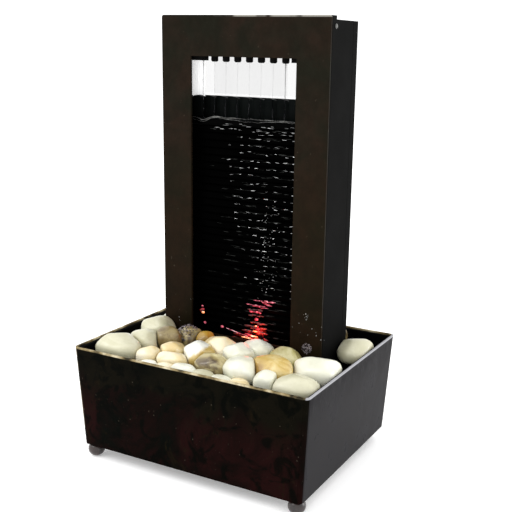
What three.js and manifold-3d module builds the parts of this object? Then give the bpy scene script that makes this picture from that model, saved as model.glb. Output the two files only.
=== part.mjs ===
// Tabletop water fountain: a tapered metal basin with ball feet, a perforated deck of river pebbles, a hollow
// tower whose framed alcove holds a ribbed cascade panel, and the pump, riser tube, header trough and lamp
// that make the water fall. Millimetres, +Z up, origin on the floor under the middle of the basin.

import * as THREE from 'three';
import { mergeVertices } from 'three/addons/utils/BufferGeometryUtils.js';
import Module from 'manifold-3d';

const wasm = await Module();
wasm.setup();

// ---------------------------------------------------------------- driving dimensions

const GAP = 0.3;                    // clearance between pieces that touch

const FOOT_HEIGHT = 9;              // floor to underside of basin
const FOOT_RADIUS = 5.5;
const FOOT_Y = 58;
const FOOT_X = { front: 74.5, back: 65 };      // the back pair is set in from the corners
const STUD_RADIUS = 2;

const RIM_X = 84;                   // half sizes of the basin at its rim
const RIM_Y = 66;
const RIM_Z = 76;
const TAPER_X = 4;                  // how far each wall leans in at the bottom
const TAPER_Y = 2.5;
const CORNER = 3;                   // corner radius of the basin in plan
const SHEET = 1.2;                  // basin sheet metal
const LINER_WALL = 1.4;
const LINER_FLOOR = 12;             // underside of the liner
const LINER_TOP = 74.8;
const LINER_INSIDE = LINER_FLOOR + LINER_WALL;

const TOWER_X = 59.5;               // half width
const TOWER_BACK = 39;              // the tower's front face is at y = 0
const TOWER_BOTTOM = LINER_INSIDE + GAP;
const TOWER_TOP = 283;
const SHELL_TOP = 280.8;            // the shell stops just short of the front frame's top edge
const SHELL_WALL = 1.6;
const SHELL_FRONT = 2.3;
const SHELL_BACK = 32;              // the rear cover takes over behind this
const FRAME_SHEET = 2;

const OPENING_X = 37.5;             // alcove opening in the front frame
const OPENING_BOTTOM = 77;
const OPENING_TOP = 258;
const FRAME_BOTTOM = 65.5;

const WINDOW_BOTTOM = 232;          // clear view through the tower, front to back
const WINDOW_TOP = 259;

const STREAMS = 9;                  // falling threads of water
const STREAM_PITCH = 8.5;
const STREAM_Y = 9.5;
const NOZZLE_TIP = 254.8;
const NOZZLE_ROOT = 258.2;
const COMB_TOP = 259.7;

const TROUGH_X = 57.5;
const TROUGH_BOTTOM = 260;
const TROUGH_TOP = 272.5;
const TROUGH_FRONT = 5;
const TROUGH_BACK = 36.5;
const TROUGH_WALL = 1.5;

const LIP_TOP = 219.3;              // where the falling water lands and spills over
const WEIR_BOTTOM = 215.3;
const FLUTE_TOP = 233;
const FLUTE_Y = 20;
const FLUTE_PITCH = 9;

const PANEL_X = 56;
const PANEL_FRONT = 7.6;
const PANEL_BACK = 12;
const PANEL_TOP = 215;
const RIB_PITCH = 4.8;
const RIB_DEPTH = 1.3;

const DECK_BOTTOM = 62.5;           // pebble deck
const DECK_TOP = 64.5;

const RISER_X = -51;
const RISER_Y = 28.2;
const RISER_RADIUS = 5.2;
const RISER_BORE = 4.2;
const SPIGOT_BORE = 3.1;             // through the pump's outlet and the header's inlet

const LAMP_X = 12;
const LAMP_Y = 7.4;
const LAMP_RADIUS = 5;
const LENS_BASE = 81;

const PUMP_X = -41.5;               // impeller axis, which runs along Y
const PUMP_Z = 30;
const PUMP_FRONT = -6;
const PUMP_LOW = 16.5;
const PUMP_HIGH = 45;
const PUMP_LEFT = -57;
const PUMP_RIGHT = -26;
const VOLUTE_FRONT = 24.3;
const VOLUTE_BACK = 34;
const COVER_BACK = 36.6;

// ---------------------------------------------------------------- materials

function finish(color, roughness, metalness) {
  return new THREE.MeshStandardMaterial({ color, roughness, metalness });
}

const bronze = finish(0x2a2019, 0.55, 0.6);
const black = finish(0x181817, 0.6, 0);
const glossBlack = finish(0x050505, 0.15, 0);
const clear = finish(0xe4e8e8, 0.2, 0);
const rubber = finish(0x202020, 0.9, 0);
const ceramic = finish(0xf0efe8, 0.3, 0);
const magnet = finish(0x3a3a3c, 0.5, 0.3);
const steel = finish(0xb8b8b6, 0.3, 1);
const redLens = finish(0xff2a1a, 0.1, 0);
const footWood = finish(0x24130c, 0.45, 0);

const STONES = {
  cream: finish(0xeeebd2, 0.6, 0),
  white: finish(0xf7f6ee, 0.55, 0),
  ochre: finish(0xd9b96c, 0.55, 0),
  peach: finish(0xf0dfc0, 0.6, 0),
  tan: finish(0xa9997a, 0.6, 0),
  brown: finish(0x8a7a5c, 0.6, 0),
  olive: finish(0xd6d0a4, 0.6, 0),
};

// ---------------------------------------------------------------- shape helpers

function solid(geometry) {
  const bare = geometry.clone();
  bare.deleteAttribute('normal');
  bare.deleteAttribute('uv');
  const merged = mergeVertices(bare, 1e-4);
  return new wasm.Manifold(new wasm.Mesh({
    numProp: 3,
    vertProperties: merged.attributes.position.array,
    triVerts: Uint32Array.from(merged.index.array),
  }));
}

function surface(manifold) {
  const mesh = manifold.getMesh();
  const geometry = new THREE.BufferGeometry();
  geometry.setAttribute('position', new THREE.BufferAttribute(Float32Array.from(mesh.vertProperties), 3));
  geometry.setIndex(new THREE.BufferAttribute(Uint32Array.from(mesh.triVerts), 1));
  geometry.computeVertexNormals();
  return geometry;
}

function block(x0, x1, y0, y1, z0, z1) {
  const geometry = new THREE.BoxGeometry(x1 - x0, y1 - y0, z1 - z0);
  geometry.translate((x0 + x1) / 2, (y0 + y1) / 2, (z0 + z1) / 2);
  return solid(geometry);
}

function rodZ(x, y, z0, z1, radius, sides = 16) {
  const geometry = new THREE.CylinderGeometry(radius, radius, z1 - z0, sides);
  geometry.rotateX(Math.PI / 2);
  geometry.translate(x, y, (z0 + z1) / 2);
  return solid(geometry);
}

function rodY(x, z, y0, y1, radius, sides = 16) {
  const geometry = new THREE.CylinderGeometry(radius, radius, y1 - y0, sides);
  geometry.translate(x, (y0 + y1) / 2, z);
  return solid(geometry);
}

function union(parts) {
  return parts.reduce((whole, part) => whole.add(part));
}

function cut(body, tools) {
  return tools.reduce((left, tool) => left.subtract(tool), body);
}

// A profile of [y, z] points, swept along X.
function barAlongX(points, x0, x1) {
  const shape = new THREE.Shape(points.map(([y, z]) => new THREE.Vector2(y, z)));
  const geometry = new THREE.ExtrudeGeometry(shape, { depth: x1 - x0, bevelEnabled: false });
  const axes = new THREE.Matrix4().set(0, 0, 1, x0, 1, 0, 0, 0, 0, 1, 0, 0, 0, 0, 0, 1);
  return geometry.applyMatrix4(axes);
}

// A shape drawn in X and Z, standing upright with its front face at yFront.
function plateXZ(shape, yFront, thickness, options = { bevelEnabled: false }) {
  const geometry = new THREE.ExtrudeGeometry(shape, { depth: thickness, ...options });
  geometry.rotateX(Math.PI / 2);
  return geometry.translate(0, yFront + thickness, 0);
}

function lathe(points, sides, x, y, z) {
  const profile = points.map(([r, h]) => new THREE.Vector2(r, h));
  const geometry = new THREE.LatheGeometry(profile, sides);
  geometry.rotateX(Math.PI / 2);
  return geometry.translate(x, y, z);
}

function roundedRectangle(halfX, halfY, radius, steps = 4) {
  const points = [];
  const centres = [[1, 1], [-1, 1], [-1, -1], [1, -1]];
  centres.forEach(([sx, sy], quarter) => {
    for (let i = 0; i <= steps; i++) {
      const angle = (quarter + i / steps) * Math.PI / 2;
      const x = sx * (halfX - radius) + radius * Math.cos(angle);
      const y = sy * (halfY - radius) + radius * Math.sin(angle);
      points.push([x, y]);
    }
  });
  return points;
}

// A solid between two convex outlines with the same number of points.
function loft(lower, upper, z0, z1) {
  const count = lower.length;
  const positions = [];
  lower.forEach(([x, y]) => positions.push(x, y, z0));
  upper.forEach(([x, y]) => positions.push(x, y, z1));
  positions.push(0, 0, z0, 0, 0, z1);
  const index = [];
  for (let i = 0; i < count; i++) {
    const next = (i + 1) % count;
    index.push(i, next, count + next, i, count + next, count + i);
    index.push(2 * count, next, i, 2 * count + 1, count + i, count + next);
  }
  const geometry = new THREE.BufferGeometry();
  geometry.setAttribute('position', new THREE.BufferAttribute(new Float32Array(positions), 3));
  geometry.setIndex(index);
  return geometry;
}

// ---------------------------------------------------------------- scene group

const fountain = new THREE.Group();

function add(name, geometry, material) {
  const mesh = new THREE.Mesh(geometry, material);
  mesh.name = name;
  fountain.add(mesh);
  return mesh;
}

// ---------------------------------------------------------------- basin

// Half sizes of the basin's outside at height z, less an inset.
function basinHalf(z, inset) {
  const rise = (z - FOOT_HEIGHT) / (RIM_Z - FOOT_HEIGHT);
  return [RIM_X - TAPER_X * (1 - rise) - inset, RIM_Y - TAPER_Y * (1 - rise) - inset];
}

function basinForm(z0, z1, inset) {
  const radius = Math.max(CORNER - inset, 0.6);
  const lower = roundedRectangle(...basinHalf(z0, inset), radius);
  const upper = roundedRectangle(...basinHalf(z1, inset), radius);
  return solid(loft(lower, upper, z0, z1));
}

const GROMMET_X = 44;
const GROMMET_Z = 51;
const GROMMET_RADIUS = 4.2;

function footPlaces() {
  return [['front', -FOOT_Y], ['back', FOOT_Y]].flatMap(([end, y]) => [
    { name: `foot_${end}_left`, x: -FOOT_X[end], y },
    { name: `foot_${end}_right`, x: FOOT_X[end], y },
  ]);
}

function basin() {
  const studHoles = footPlaces().map(({ x, y }) =>
    rodZ(x, y, FOOT_HEIGHT - 1, LINER_FLOOR, STUD_RADIUS + GAP));
  const cableHole = rodY(GROMMET_X, GROMMET_Z, RIM_Y - 8, RIM_Y + 2, GROMMET_RADIUS + GAP);
  const hollow = basinForm(FOOT_HEIGHT + SHEET, RIM_Z + 1, SHEET);
  const shell = cut(basinForm(FOOT_HEIGHT, RIM_Z, 0), [hollow, cableHole, ...studHoles]);
  add('basin_shell', surface(shell), bronze);

  const linerInset = SHEET + GAP;
  const inside = basinForm(LINER_INSIDE, LINER_TOP + 1, linerInset + LINER_WALL);
  const liner = cut(basinForm(LINER_FLOOR, LINER_TOP, linerInset), [inside, cableHole]);
  add('basin_liner', surface(liner), black);
}

// A ball foot with a flat base and an integral stud that passes through the basin's sheet floor.
function feet() {
  const middle = 4.6;
  const halfHeight = 5;
  const profile = [[0, 0]];
  const steps = 7;
  const low = Math.asin(-middle / halfHeight);
  const high = Math.asin((FOOT_HEIGHT - GAP - middle) / halfHeight);
  for (let i = 0; i <= steps; i++) {
    const angle = low + (high - low) * i / steps;
    profile.push([FOOT_RADIUS * Math.cos(angle), middle + halfHeight * Math.sin(angle)]);
  }
  profile[1][1] = 0;
  const studTop = LINER_FLOOR - GAP;
  profile.push([STUD_RADIUS, FOOT_HEIGHT - GAP], [STUD_RADIUS, studTop], [0, studTop]);
  for (const { name, x, y } of footPlaces()) {
    add(name, lathe(profile, 16, x, y, 0), footWood);
  }
}

// A rubber bush in the back wall, where the low-voltage lead leaves.
function cableGrommet() {
  const outside = basinHalf(GROMMET_Z, 0)[1];
  const inside = outside - SHEET - GAP - LINER_WALL;
  const flange = GROMMET_RADIUS + 1.6;
  const bore = 2.6;
  const lip = 0.5;
  const stand = 0.3;
  const body = union([
    rodY(GROMMET_X, GROMMET_Z, inside - stand - lip, outside + stand + lip, GROMMET_RADIUS - GAP / 2, 20),
    rodY(GROMMET_X, GROMMET_Z, outside + stand, outside + stand + lip, flange, 20),
    rodY(GROMMET_X, GROMMET_Z, inside - stand - lip, inside - stand, flange, 20),
  ]);
  const hole = rodY(GROMMET_X, GROMMET_Z, inside - 5, outside + 5, bore);
  add('cable_grommet', surface(body.subtract(hole)), rubber);
}

// ---------------------------------------------------------------- pebble deck

const DECK_GAP = 0.6;
const TOWER_CLEARANCE = 1.3;        // lets the deck and its pebbles lift past the side screws

function pebbleDeck() {
  const inset = SHEET + GAP + LINER_WALL + DECK_GAP;
  const plate = basinForm(DECK_BOTTOM, DECK_TOP, inset);
  const besideTower = TOWER_X + TOWER_CLEARANCE;
  const tower = block(-besideTower, besideTower, -DECK_GAP, TOWER_BACK + TOWER_CLEARANCE,
    DECK_BOTTOM - 1, DECK_TOP + 1);
  const slots = [];
  const slotWidth = 4;
  for (let x = -66; x <= 66; x += 11) {
    for (const y of [-54, -30]) {
      slots.push(block(x - slotWidth / 2, x + slotWidth / 2, y, y + 18, DECK_BOTTOM - 1, DECK_TOP + 1));
    }
    slots.push(block(x - slotWidth / 2, x + slotWidth / 2, 44, 56, DECK_BOTTOM - 1, DECK_TOP + 1));
  }
  for (const x of [-70, 70]) {
    for (const y of [2, 22]) {
      slots.push(block(x - 5, x + 5, y, y + 14, DECK_BOTTOM - 1, DECK_TOP + 1));
    }
  }
  const legTop = DECK_BOTTOM + 1;
  const legs = [-71, 71].flatMap((x) => [-30, 41].map((y) => rodZ(x, y, TOWER_BOTTOM, legTop, 4, 12)));
  const middleLeg = rodZ(0, -58, TOWER_BOTTOM, legTop, 2.5, 12);
  const deck = union([cut(plate, [tower, ...slots]), ...legs, middleLeg]);
  add('pebble_deck', surface(deck), black);
}

// ---------------------------------------------------------------- pebbles

const PEBBLE_GAP = 0.35;
const PEBBLE_SPREAD = 1.16;         // how much broader a whole pebble is than its place among the others

// Each: stone, centre x, y, half length, half width, half height, turn in degrees, and lift off the deck.
const PEBBLES = [
  ['cream', -61, -48, 15, 11, 10, 5, 0],
  ['cream', -52, -32, 11, 9, 9.5, -15, 1],
  ['cream', -56, -13, 10, 10.5, 10.5, 0, 2],
  ['tan', -40, -24, 9, 8, 10, 25, 2],
  ['brown', -31, -13, 7.5, 8, 9, 0, 2],
  ['ochre', -19, -12, 5.5, 5.5, 8.5, 20, 2],
  ['peach', -26, -39, 8.5, 8, 9, -10, 0],
  ['peach', -36, -49, 8, 7, 8, 20, 0],
  ['peach', -20, -49, 14, 7, 7.5, 4, 0],
  ['ochre', -8, -36, 11, 9.5, 9.5, 20, 1],
  ['peach', -1, -22, 11.5, 9, 9.5, -5, 2],
  ['white', 22, -14, 11, 9, 9.5, 0, 1],
  ['white', 17, -29, 9, 9, 10, 0, 2],
  ['brown', 7, -44, 11, 8.5, 9, 8, 0],
  ['white', 28, -45, 10, 9.5, 9.5, 15, 1],
  ['ochre', 43, -34, 19, 10.5, 9.5, -24, 0],
  ['olive', 41, -13, 11, 8.5, 9, -12, 0.5],
  ['white', 48, -50, 6.4, 6.5, 8.6, 0, 0],
  ['white', 67, -21, 15, 11, 9.5, 12, 0],
  ['cream', 66, -47, 14, 9.5, 8, 8, 0],
  ['cream', 71, 29, 10, 13.5, 8.2, 0, 0],
];

// Small pebbles that lie against each other in a line, as one piece. Each: centre x, y, half length, half
// width and half height.
const BACK_ROW = [
  [-70, 10, 9.5, 11.5, 6.5],
  [-70, 29, 9.5, 11.5, 6],
  [-69, 47, 10.5, 10, 9],
  [-52, 51, 11, 8.6, 10],
  [-33, 50, 12, 8.8, 8],
  [-13, 51, 12, 8.6, 9],
  [8, 50, 12, 8.8, 10],
  [28, 51, 11.5, 8.6, 8],
  [45, 51, 9, 8.6, 8],
];
const FRONT_ROW = [
  [-30, -58, 7.5, 4.5, 5],
  [-18, -58, 7, 4.5, 5.2],
  [-5, -57.6, 9, 5, 6.2],
  [9, -57.4, 8, 5, 5.4],
  [22, -57.4, 8, 5, 5],
  [34, -57.4, 6.5, 5, 5.2],
];

function stoneOf(x, y, length, width, height, degrees, lift, shape) {
  const centre = new THREE.Vector3(x, y, DECK_TOP + GAP + height + lift);
  return {
    centre,
    length: length * PEBBLE_SPREAD,
    width: width * PEBBLE_SPREAD,
    height,
    turn: THREE.MathUtils.degToRad(degrees),
    ...shape,
  };
}

function looseStones() {
  return PEBBLES.map(([material, x, y, length, width, height, degrees, lift], i) =>
    stoneOf(x, y, length, width, height, degrees, lift,
      { material, lean: i % 2 ? 0.9 : -0.7, row: null, flats: 5, order: i }));
}

function rowStones(row, name) {
  return row.map(([x, y, length, width, height], i) =>
    stoneOf(x, y, length, width, height, 0, 0, { lean: i % 2 ? 0.8 : -0.8, row: name, flats: 0, order: i }));
}

// Half extent of a turned pebble along a unit direction.
function reach(stone, direction) {
  const along = direction.x * Math.cos(stone.turn) + direction.y * Math.sin(stone.turn);
  const across = -direction.x * Math.sin(stone.turn) + direction.y * Math.cos(stone.turn);
  return Math.hypot(stone.length * along, stone.width * across, stone.height * direction.z);
}

// How far a superellipse of this squareness bulges past the unit circle in the direction (a, b).
function bulge(a, b, squareness) {
  return (Math.abs(a) ** squareness + Math.abs(b) ** squareness) ** (-1 / squareness);
}

// A river pebble on its own: flattened, squarish and narrower at one end, never outside its half sizes.
function pebbleForm(stone) {
  const geometry = new THREE.SphereGeometry(1, 16, 10);
  geometry.rotateX(Math.PI / 2);
  const position = geometry.attributes.position;
  for (let i = 0; i < position.count; i++) {
    const x = position.getX(i);
    const y = position.getY(i);
    const z = position.getZ(i);
    const plan = Math.max(Math.hypot(x, y), 1e-6);
    const side = bulge(plan, z, 2.9);
    const round = side * (plan > 1e-5 ? bulge(x / plan, y / plan, 2.6) : 1);
    const taper = 1 - 0.16 * (1 + stone.lean * x) / 2;
    position.setXYZ(i, x * stone.length * round, y * stone.width * round * taper,
      z * stone.height * side * (1 - 0.1 * (1 - stone.lean * y) / 2));
  }
  geometry.rotateZ(stone.turn);
  return geometry.translate(...stone.centre);
}

// All the space on the far side of a plane, as one large block.
function beyond(point, normal) {
  const size = 90;
  const geometry = new THREE.BoxGeometry(size, size, size).translate(0, 0, size / 2);
  geometry.applyQuaternion(new THREE.Quaternion().setFromUnitVectors(new THREE.Vector3(0, 0, 1), normal));
  return solid(geometry.translate(...point));
}

// Parts a pebble from a neighbour that it would run into, by a flat cut across the line between them.
function beyondNeighbour(stone, neighbour) {
  const normal = neighbour.centre.clone().sub(stone.centre);
  const distance = normal.length();
  normal.divideScalar(distance);
  const own = reach(stone, normal);
  const both = own + reach(neighbour, normal);
  if (distance > 1.25 * both) {
    return null;
  }
  const along = distance * own / both - PEBBLE_GAP / 2;
  return beyond(stone.centre.clone().addScaledVector(normal, along), normal);
}

// Worn flats: each planes off part of the pebble's top at a gentle tilt, at headings spread evenly round it.
function flatsOf(stone) {
  const slice = 0.84;
  const firstHeading = 0.9 + 2.4 * stone.order;
  return Array.from({ length: stone.flats }, (_, i) => {
    const heading = firstHeading + i * 2 * Math.PI / stone.flats + 0.35 * Math.sin(3 * i + stone.order);
    const steepness = 1.0 + 0.25 * Math.sin(2 * i + stone.order);
    const normal = new THREE.Vector3(Math.cos(heading) * Math.cos(steepness),
      Math.sin(heading) * Math.cos(steepness), Math.sin(steepness));
    return beyond(stone.centre.clone().addScaledVector(normal, slice * reach(stone, normal)), normal);
  });
}

function settledStone(stone, stones) {
  const room = basinForm(DECK_TOP + GAP, RIM_Z + 20, SHEET + GAP + LINER_WALL + PEBBLE_GAP);
  const towerX = TOWER_X + TOWER_CLEARANCE;
  const tower = block(-towerX, towerX, -DECK_GAP, TOWER_BACK + TOWER_CLEARANCE, DECK_BOTTOM, RIM_Z + 30);
  const others = stones.filter((other) => other !== stone && (!stone.row || other.row !== stone.row));
  const cuts = others.map((other) => beyondNeighbour(stone, other)).filter((cutter) => cutter);
  return cut(solid(pebbleForm(stone)).intersect(room), [tower, ...cuts, ...flatsOf(stone)]);
}

function pebbles() {
  const loose = looseStones();
  const rows = [
    { name: 'pebbles_back_row', stones: rowStones(BACK_ROW, 'back'), material: STONES.cream },
    { name: 'pebbles_front_row', stones: rowStones(FRONT_ROW, 'front'), material: STONES.white },
  ];
  const all = [...loose, ...rows.flatMap((row) => row.stones)];
  loose.forEach((stone, i) => {
    const name = `pebble_${String(i + 1).padStart(2, '0')}_${stone.material}`;
    const geometry = surface(settledStone(stone, all));
    const mesh = add(name, geometry.translate(...stone.centre.clone().negate()), STONES[stone.material]);
    mesh.position.copy(stone.centre);
  });
  for (const { name, stones, material } of rows) {
    add(name, surface(union(stones.map((stone) => settledStone(stone, all)))), material);
  }
}

// ---------------------------------------------------------------- tower casing

function rectangleXZ(x0, x1, z0, z1, radius = 0) {
  const shape = new THREE.Shape();
  if (radius === 0) {
    shape.moveTo(x0, z0).lineTo(x1, z0).lineTo(x1, z1).lineTo(x0, z1).closePath();
    return shape;
  }
  shape.moveTo(x0 + radius, z0).lineTo(x1 - radius, z0);
  shape.absarc(x1 - radius, z0 + radius, radius, -Math.PI / 2, 0);
  shape.lineTo(x1, z1 - radius);
  shape.absarc(x1 - radius, z1 - radius, radius, 0, Math.PI / 2);
  shape.lineTo(x0 + radius, z1);
  shape.absarc(x0 + radius, z1 - radius, radius, Math.PI / 2, Math.PI);
  shape.lineTo(x0, z0 + radius);
  shape.absarc(x0 + radius, z0 + radius, radius, Math.PI, 1.5 * Math.PI);
  return shape;
}

const SIDE_SCREW_Y = 6.5;
const SIDE_SCREW_Z = 277;
const REAR_SCREW_X = 45;
const REAR_SCREW_Z = 277.4;
const SCREW_RADIUS = 0.9;
const SCREW_HOLE = 1.25;

function frontFrame() {
  const bevel = 0.3;
  const shape = rectangleXZ(-TOWER_X + bevel, TOWER_X - bevel, FRAME_BOTTOM + bevel, TOWER_TOP - bevel, 1.2);
  shape.holes.push(rectangleXZ(-OPENING_X - bevel, OPENING_X + bevel, OPENING_BOTTOM - bevel,
    OPENING_TOP + bevel));
  const options = {
    bevelEnabled: true, bevelThickness: bevel, bevelSize: bevel, bevelSegments: 1, curveSegments: 3,
  };
  add('front_frame', plateXZ(shape, bevel, FRAME_SHEET - 2 * bevel, options), bronze);
}

function towerShell() {
  const inner = TOWER_X - SHELL_WALL;
  const lipX = 50;
  const lipBack = SHELL_FRONT + 1.4;
  const parts = [block(-TOWER_X, TOWER_X, SHELL_FRONT, SHELL_BACK, SHELL_TOP - SHELL_WALL, SHELL_TOP)];
  for (const side of [-1, 1]) {
    const range = (a, b) => (side > 0 ? [a, b] : [-b, -a]);
    parts.push(block(...range(inner, TOWER_X), SHELL_FRONT, SHELL_BACK, TOWER_BOTTOM, SHELL_TOP));
    parts.push(block(...range(lipX, TOWER_X), SHELL_FRONT, lipBack, FRAME_BOTTOM, SHELL_TOP));
    parts.push(block(...range(TOWER_X - 4, TOWER_X), SHELL_FRONT, SHELL_FRONT + 5.5,
      SHELL_TOP - 1, TOWER_TOP));
    parts.push(block(...range(PANEL_X - 3, TOWER_X), PANEL_BACK + GAP, PANEL_BACK + 2, FRAME_BOTTOM,
      PANEL_TOP - 2));
    parts.push(block(...range(REAR_SCREW_X - 4, REAR_SCREW_X + 4), 12, SHELL_BACK,
      REAR_SCREW_Z - 3.2, SHELL_TOP));
  }
  const holes = [-1, 1].flatMap((side) => [
    rodY(side * REAR_SCREW_X, REAR_SCREW_Z, SHELL_BACK - 10, SHELL_BACK + 1, SCREW_HOLE),
    sideRod(side, TOWER_X - 5, TOWER_X + 1, SCREW_HOLE),
  ]);
  add('tower_shell', surface(cut(union(parts), holes)), black);
}

// A rod along X at the side screw's place, from x0 to x1 on one side of the tower.
function sideRod(side, x0, x1, radius, sides = 16) {
  const geometry = new THREE.CylinderGeometry(radius, radius, x1 - x0, sides);
  geometry.rotateZ(Math.PI / 2);
  geometry.translate(side * (x0 + x1) / 2, SIDE_SCREW_Y, SIDE_SCREW_Z);
  return solid(geometry);
}

function rearCover() {
  const front = SHELL_BACK + GAP;
  const back = TOWER_BACK;
  const inner = TOWER_X - SHELL_WALL;
  const body = block(-TOWER_X, TOWER_X, front, back, TOWER_BOTTOM, SHELL_TOP);
  const hollow = block(-inner, inner, front - 1, back - SHELL_WALL, TOWER_BOTTOM - 1, SHELL_TOP - SHELL_WALL);
  const windowX = inner - 1;
  const tools = [hollow, block(-windowX, windowX, front - 1, back + 1, WINDOW_BOTTOM, WINDOW_TOP)];
  for (let x = -48; x <= 48; x += 12) {
    tools.push(block(x - 2.5, x + 2.5, front - 1, back + 1, 19, 47));
  }
  for (const side of [-1, 1]) {
    tools.push(rodY(side * REAR_SCREW_X, REAR_SCREW_Z, front - 1, back + 1, SCREW_HOLE));
  }
  add('rear_cover', surface(cut(body, tools)), black);
}

// A pan-head screw: head and shank as one turned solid, pointing along -direction.
function screwForm(shank) {
  const head = 1.5;
  const rise = 0.8;
  return new THREE.LatheGeometry([
    new THREE.Vector2(0, -shank), new THREE.Vector2(SCREW_RADIUS, -shank), new THREE.Vector2(SCREW_RADIUS, 0),
    new THREE.Vector2(head, 0), new THREE.Vector2(head, rise * 0.4), new THREE.Vector2(head * 0.6, rise),
    new THREE.Vector2(0, rise),
  ], 14);
}

function screws() {
  for (const [name, side] of [['left', -1], ['right', 1]]) {
    const sideScrew = add(`side_screw_${name}`, screwForm(5.5), steel);
    sideScrew.position.set(side * (TOWER_X + GAP / 2), SIDE_SCREW_Y, SIDE_SCREW_Z);
    sideScrew.rotation.z = -side * Math.PI / 2;
    const rearScrew = add(`rear_screw_${name}`, screwForm(12), steel);
    rearScrew.position.set(side * REAR_SCREW_X, TOWER_BACK + GAP / 2, REAR_SCREW_Z);
  }
}

// ---------------------------------------------------------------- cascade

// The ribbed panel: half-round ribs across its front, and a notch at its foot for the lamp.
function cascadePanel() {
  const points = [[PANEL_BACK, FRAME_BOTTOM], [PANEL_BACK, PANEL_TOP]];
  const ribs = Math.floor((PANEL_TOP - OPENING_BOTTOM) / RIB_PITCH);
  const steps = 4;
  const valley = PANEL_FRONT + RIB_DEPTH;
  for (let rib = 0; rib < ribs; rib++) {
    const top = PANEL_TOP - rib * RIB_PITCH;
    for (let i = 0; i < steps; i++) {
      const angle = Math.PI * i / steps;
      points.push([valley - RIB_DEPTH * Math.sin(angle), top - RIB_PITCH * (1 - Math.cos(angle)) / 2]);
    }
  }
  points.push([valley, PANEL_TOP - ribs * RIB_PITCH], [valley, FRAME_BOTTOM]);
  const panel = solid(barAlongX(points, -PANEL_X, PANEL_X));
  const notchX = LAMP_RADIUS + 0.8;
  const notch = block(LAMP_X - notchX, LAMP_X + notchX, 0, 20, FRAME_BOTTOM - 1, LENS_BASE + 5.5);
  add('cascade_panel', surface(panel.subtract(notch)), glossBlack);
}

// Scallops: a row of shallow arches of one pitch, as [across, rise] points from left to right.
function scallops(count, pitch, rise, steps) {
  const points = [];
  for (let lobe = 0; lobe < count; lobe++) {
    for (let i = 0; i < steps; i++) {
      const share = i / steps;
      points.push([(lobe - count / 2 + share) * pitch, rise * Math.sin(Math.PI * share) ** 0.75]);
    }
  }
  points.push([count / 2 * pitch, 0]);
  return points;
}

// The catch weir: a gutter whose front lip the water spills over, backed by a fluted splash wall.
function catchWeir() {
  const flutes = 13;
  const rise = 1.5;
  const wall = FLUTE_Y + 2.5;
  const gutter = solid(barAlongX([
    [PANEL_FRONT, WEIR_BOTTOM], [wall, WEIR_BOTTOM], [wall, LIP_TOP - 2], [PANEL_FRONT + 3, LIP_TOP - 2],
    [PANEL_FRONT + 1.8, LIP_TOP], [PANEL_FRONT + 0.6, LIP_TOP], [PANEL_FRONT, LIP_TOP - 0.8],
  ], -PANEL_X, PANEL_X));
  const lobes = scallops(flutes, FLUTE_PITCH, rise, 6);
  const halfX = flutes * FLUTE_PITCH / 2;
  const plan = new THREE.Shape();
  plan.moveTo(-halfX, wall);
  lobes.forEach(([x, bulge]) => plan.lineTo(x, FLUTE_Y - bulge));
  plan.lineTo(halfX, wall);
  const column = new THREE.ExtrudeGeometry(plan, { depth: FLUTE_TOP - WEIR_BOTTOM + 1, bevelEnabled: false });
  column.translate(0, 0, WEIR_BOTTOM + 0.5);
  const front = new THREE.Shape();
  front.moveTo(-halfX, WEIR_BOTTOM);
  front.lineTo(halfX, WEIR_BOTTOM);
  [...lobes].reverse().forEach(([x, lift]) => front.lineTo(x, FLUTE_TOP - rise + lift));
  const outline = solid(plateXZ(front, PANEL_FRONT, wall - PANEL_FRONT));
  const width = block(-PANEL_X, PANEL_X, PANEL_FRONT, wall, WEIR_BOTTOM, FLUTE_TOP + 1);
  const splashWall = solid(column).intersect(outline).intersect(width);
  add('catch_weir', surface(gutter.add(splashWall)), glossBlack);
}

// ---------------------------------------------------------------- header

function streamX(i) {
  return (i - (STREAMS - 1) / 2) * STREAM_PITCH;
}

function headerTrough() {
  const body = block(-TROUGH_X, TROUGH_X, TROUGH_FRONT, TROUGH_BACK, TROUGH_BOTTOM, TROUGH_TOP);
  const hollow = block(-TROUGH_X + TROUGH_WALL, TROUGH_X - TROUGH_WALL, TROUGH_FRONT + TROUGH_WALL,
    TROUGH_BACK - TROUGH_WALL, TROUGH_BOTTOM + TROUGH_WALL, TROUGH_TOP + 1);
  const inlet = rodZ(RISER_X, RISER_Y, TROUGH_BOTTOM - 1, TROUGH_BOTTOM + 3, RISER_BORE);
  const drips = Array.from({ length: STREAMS }, (_, i) =>
    rodZ(streamX(i), STREAM_Y, TROUGH_BOTTOM - 1, TROUGH_BOTTOM + 3, 0.8, 8));
  add('header_trough', surface(cut(body, [hollow, inlet, ...drips])), black);
}

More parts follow.
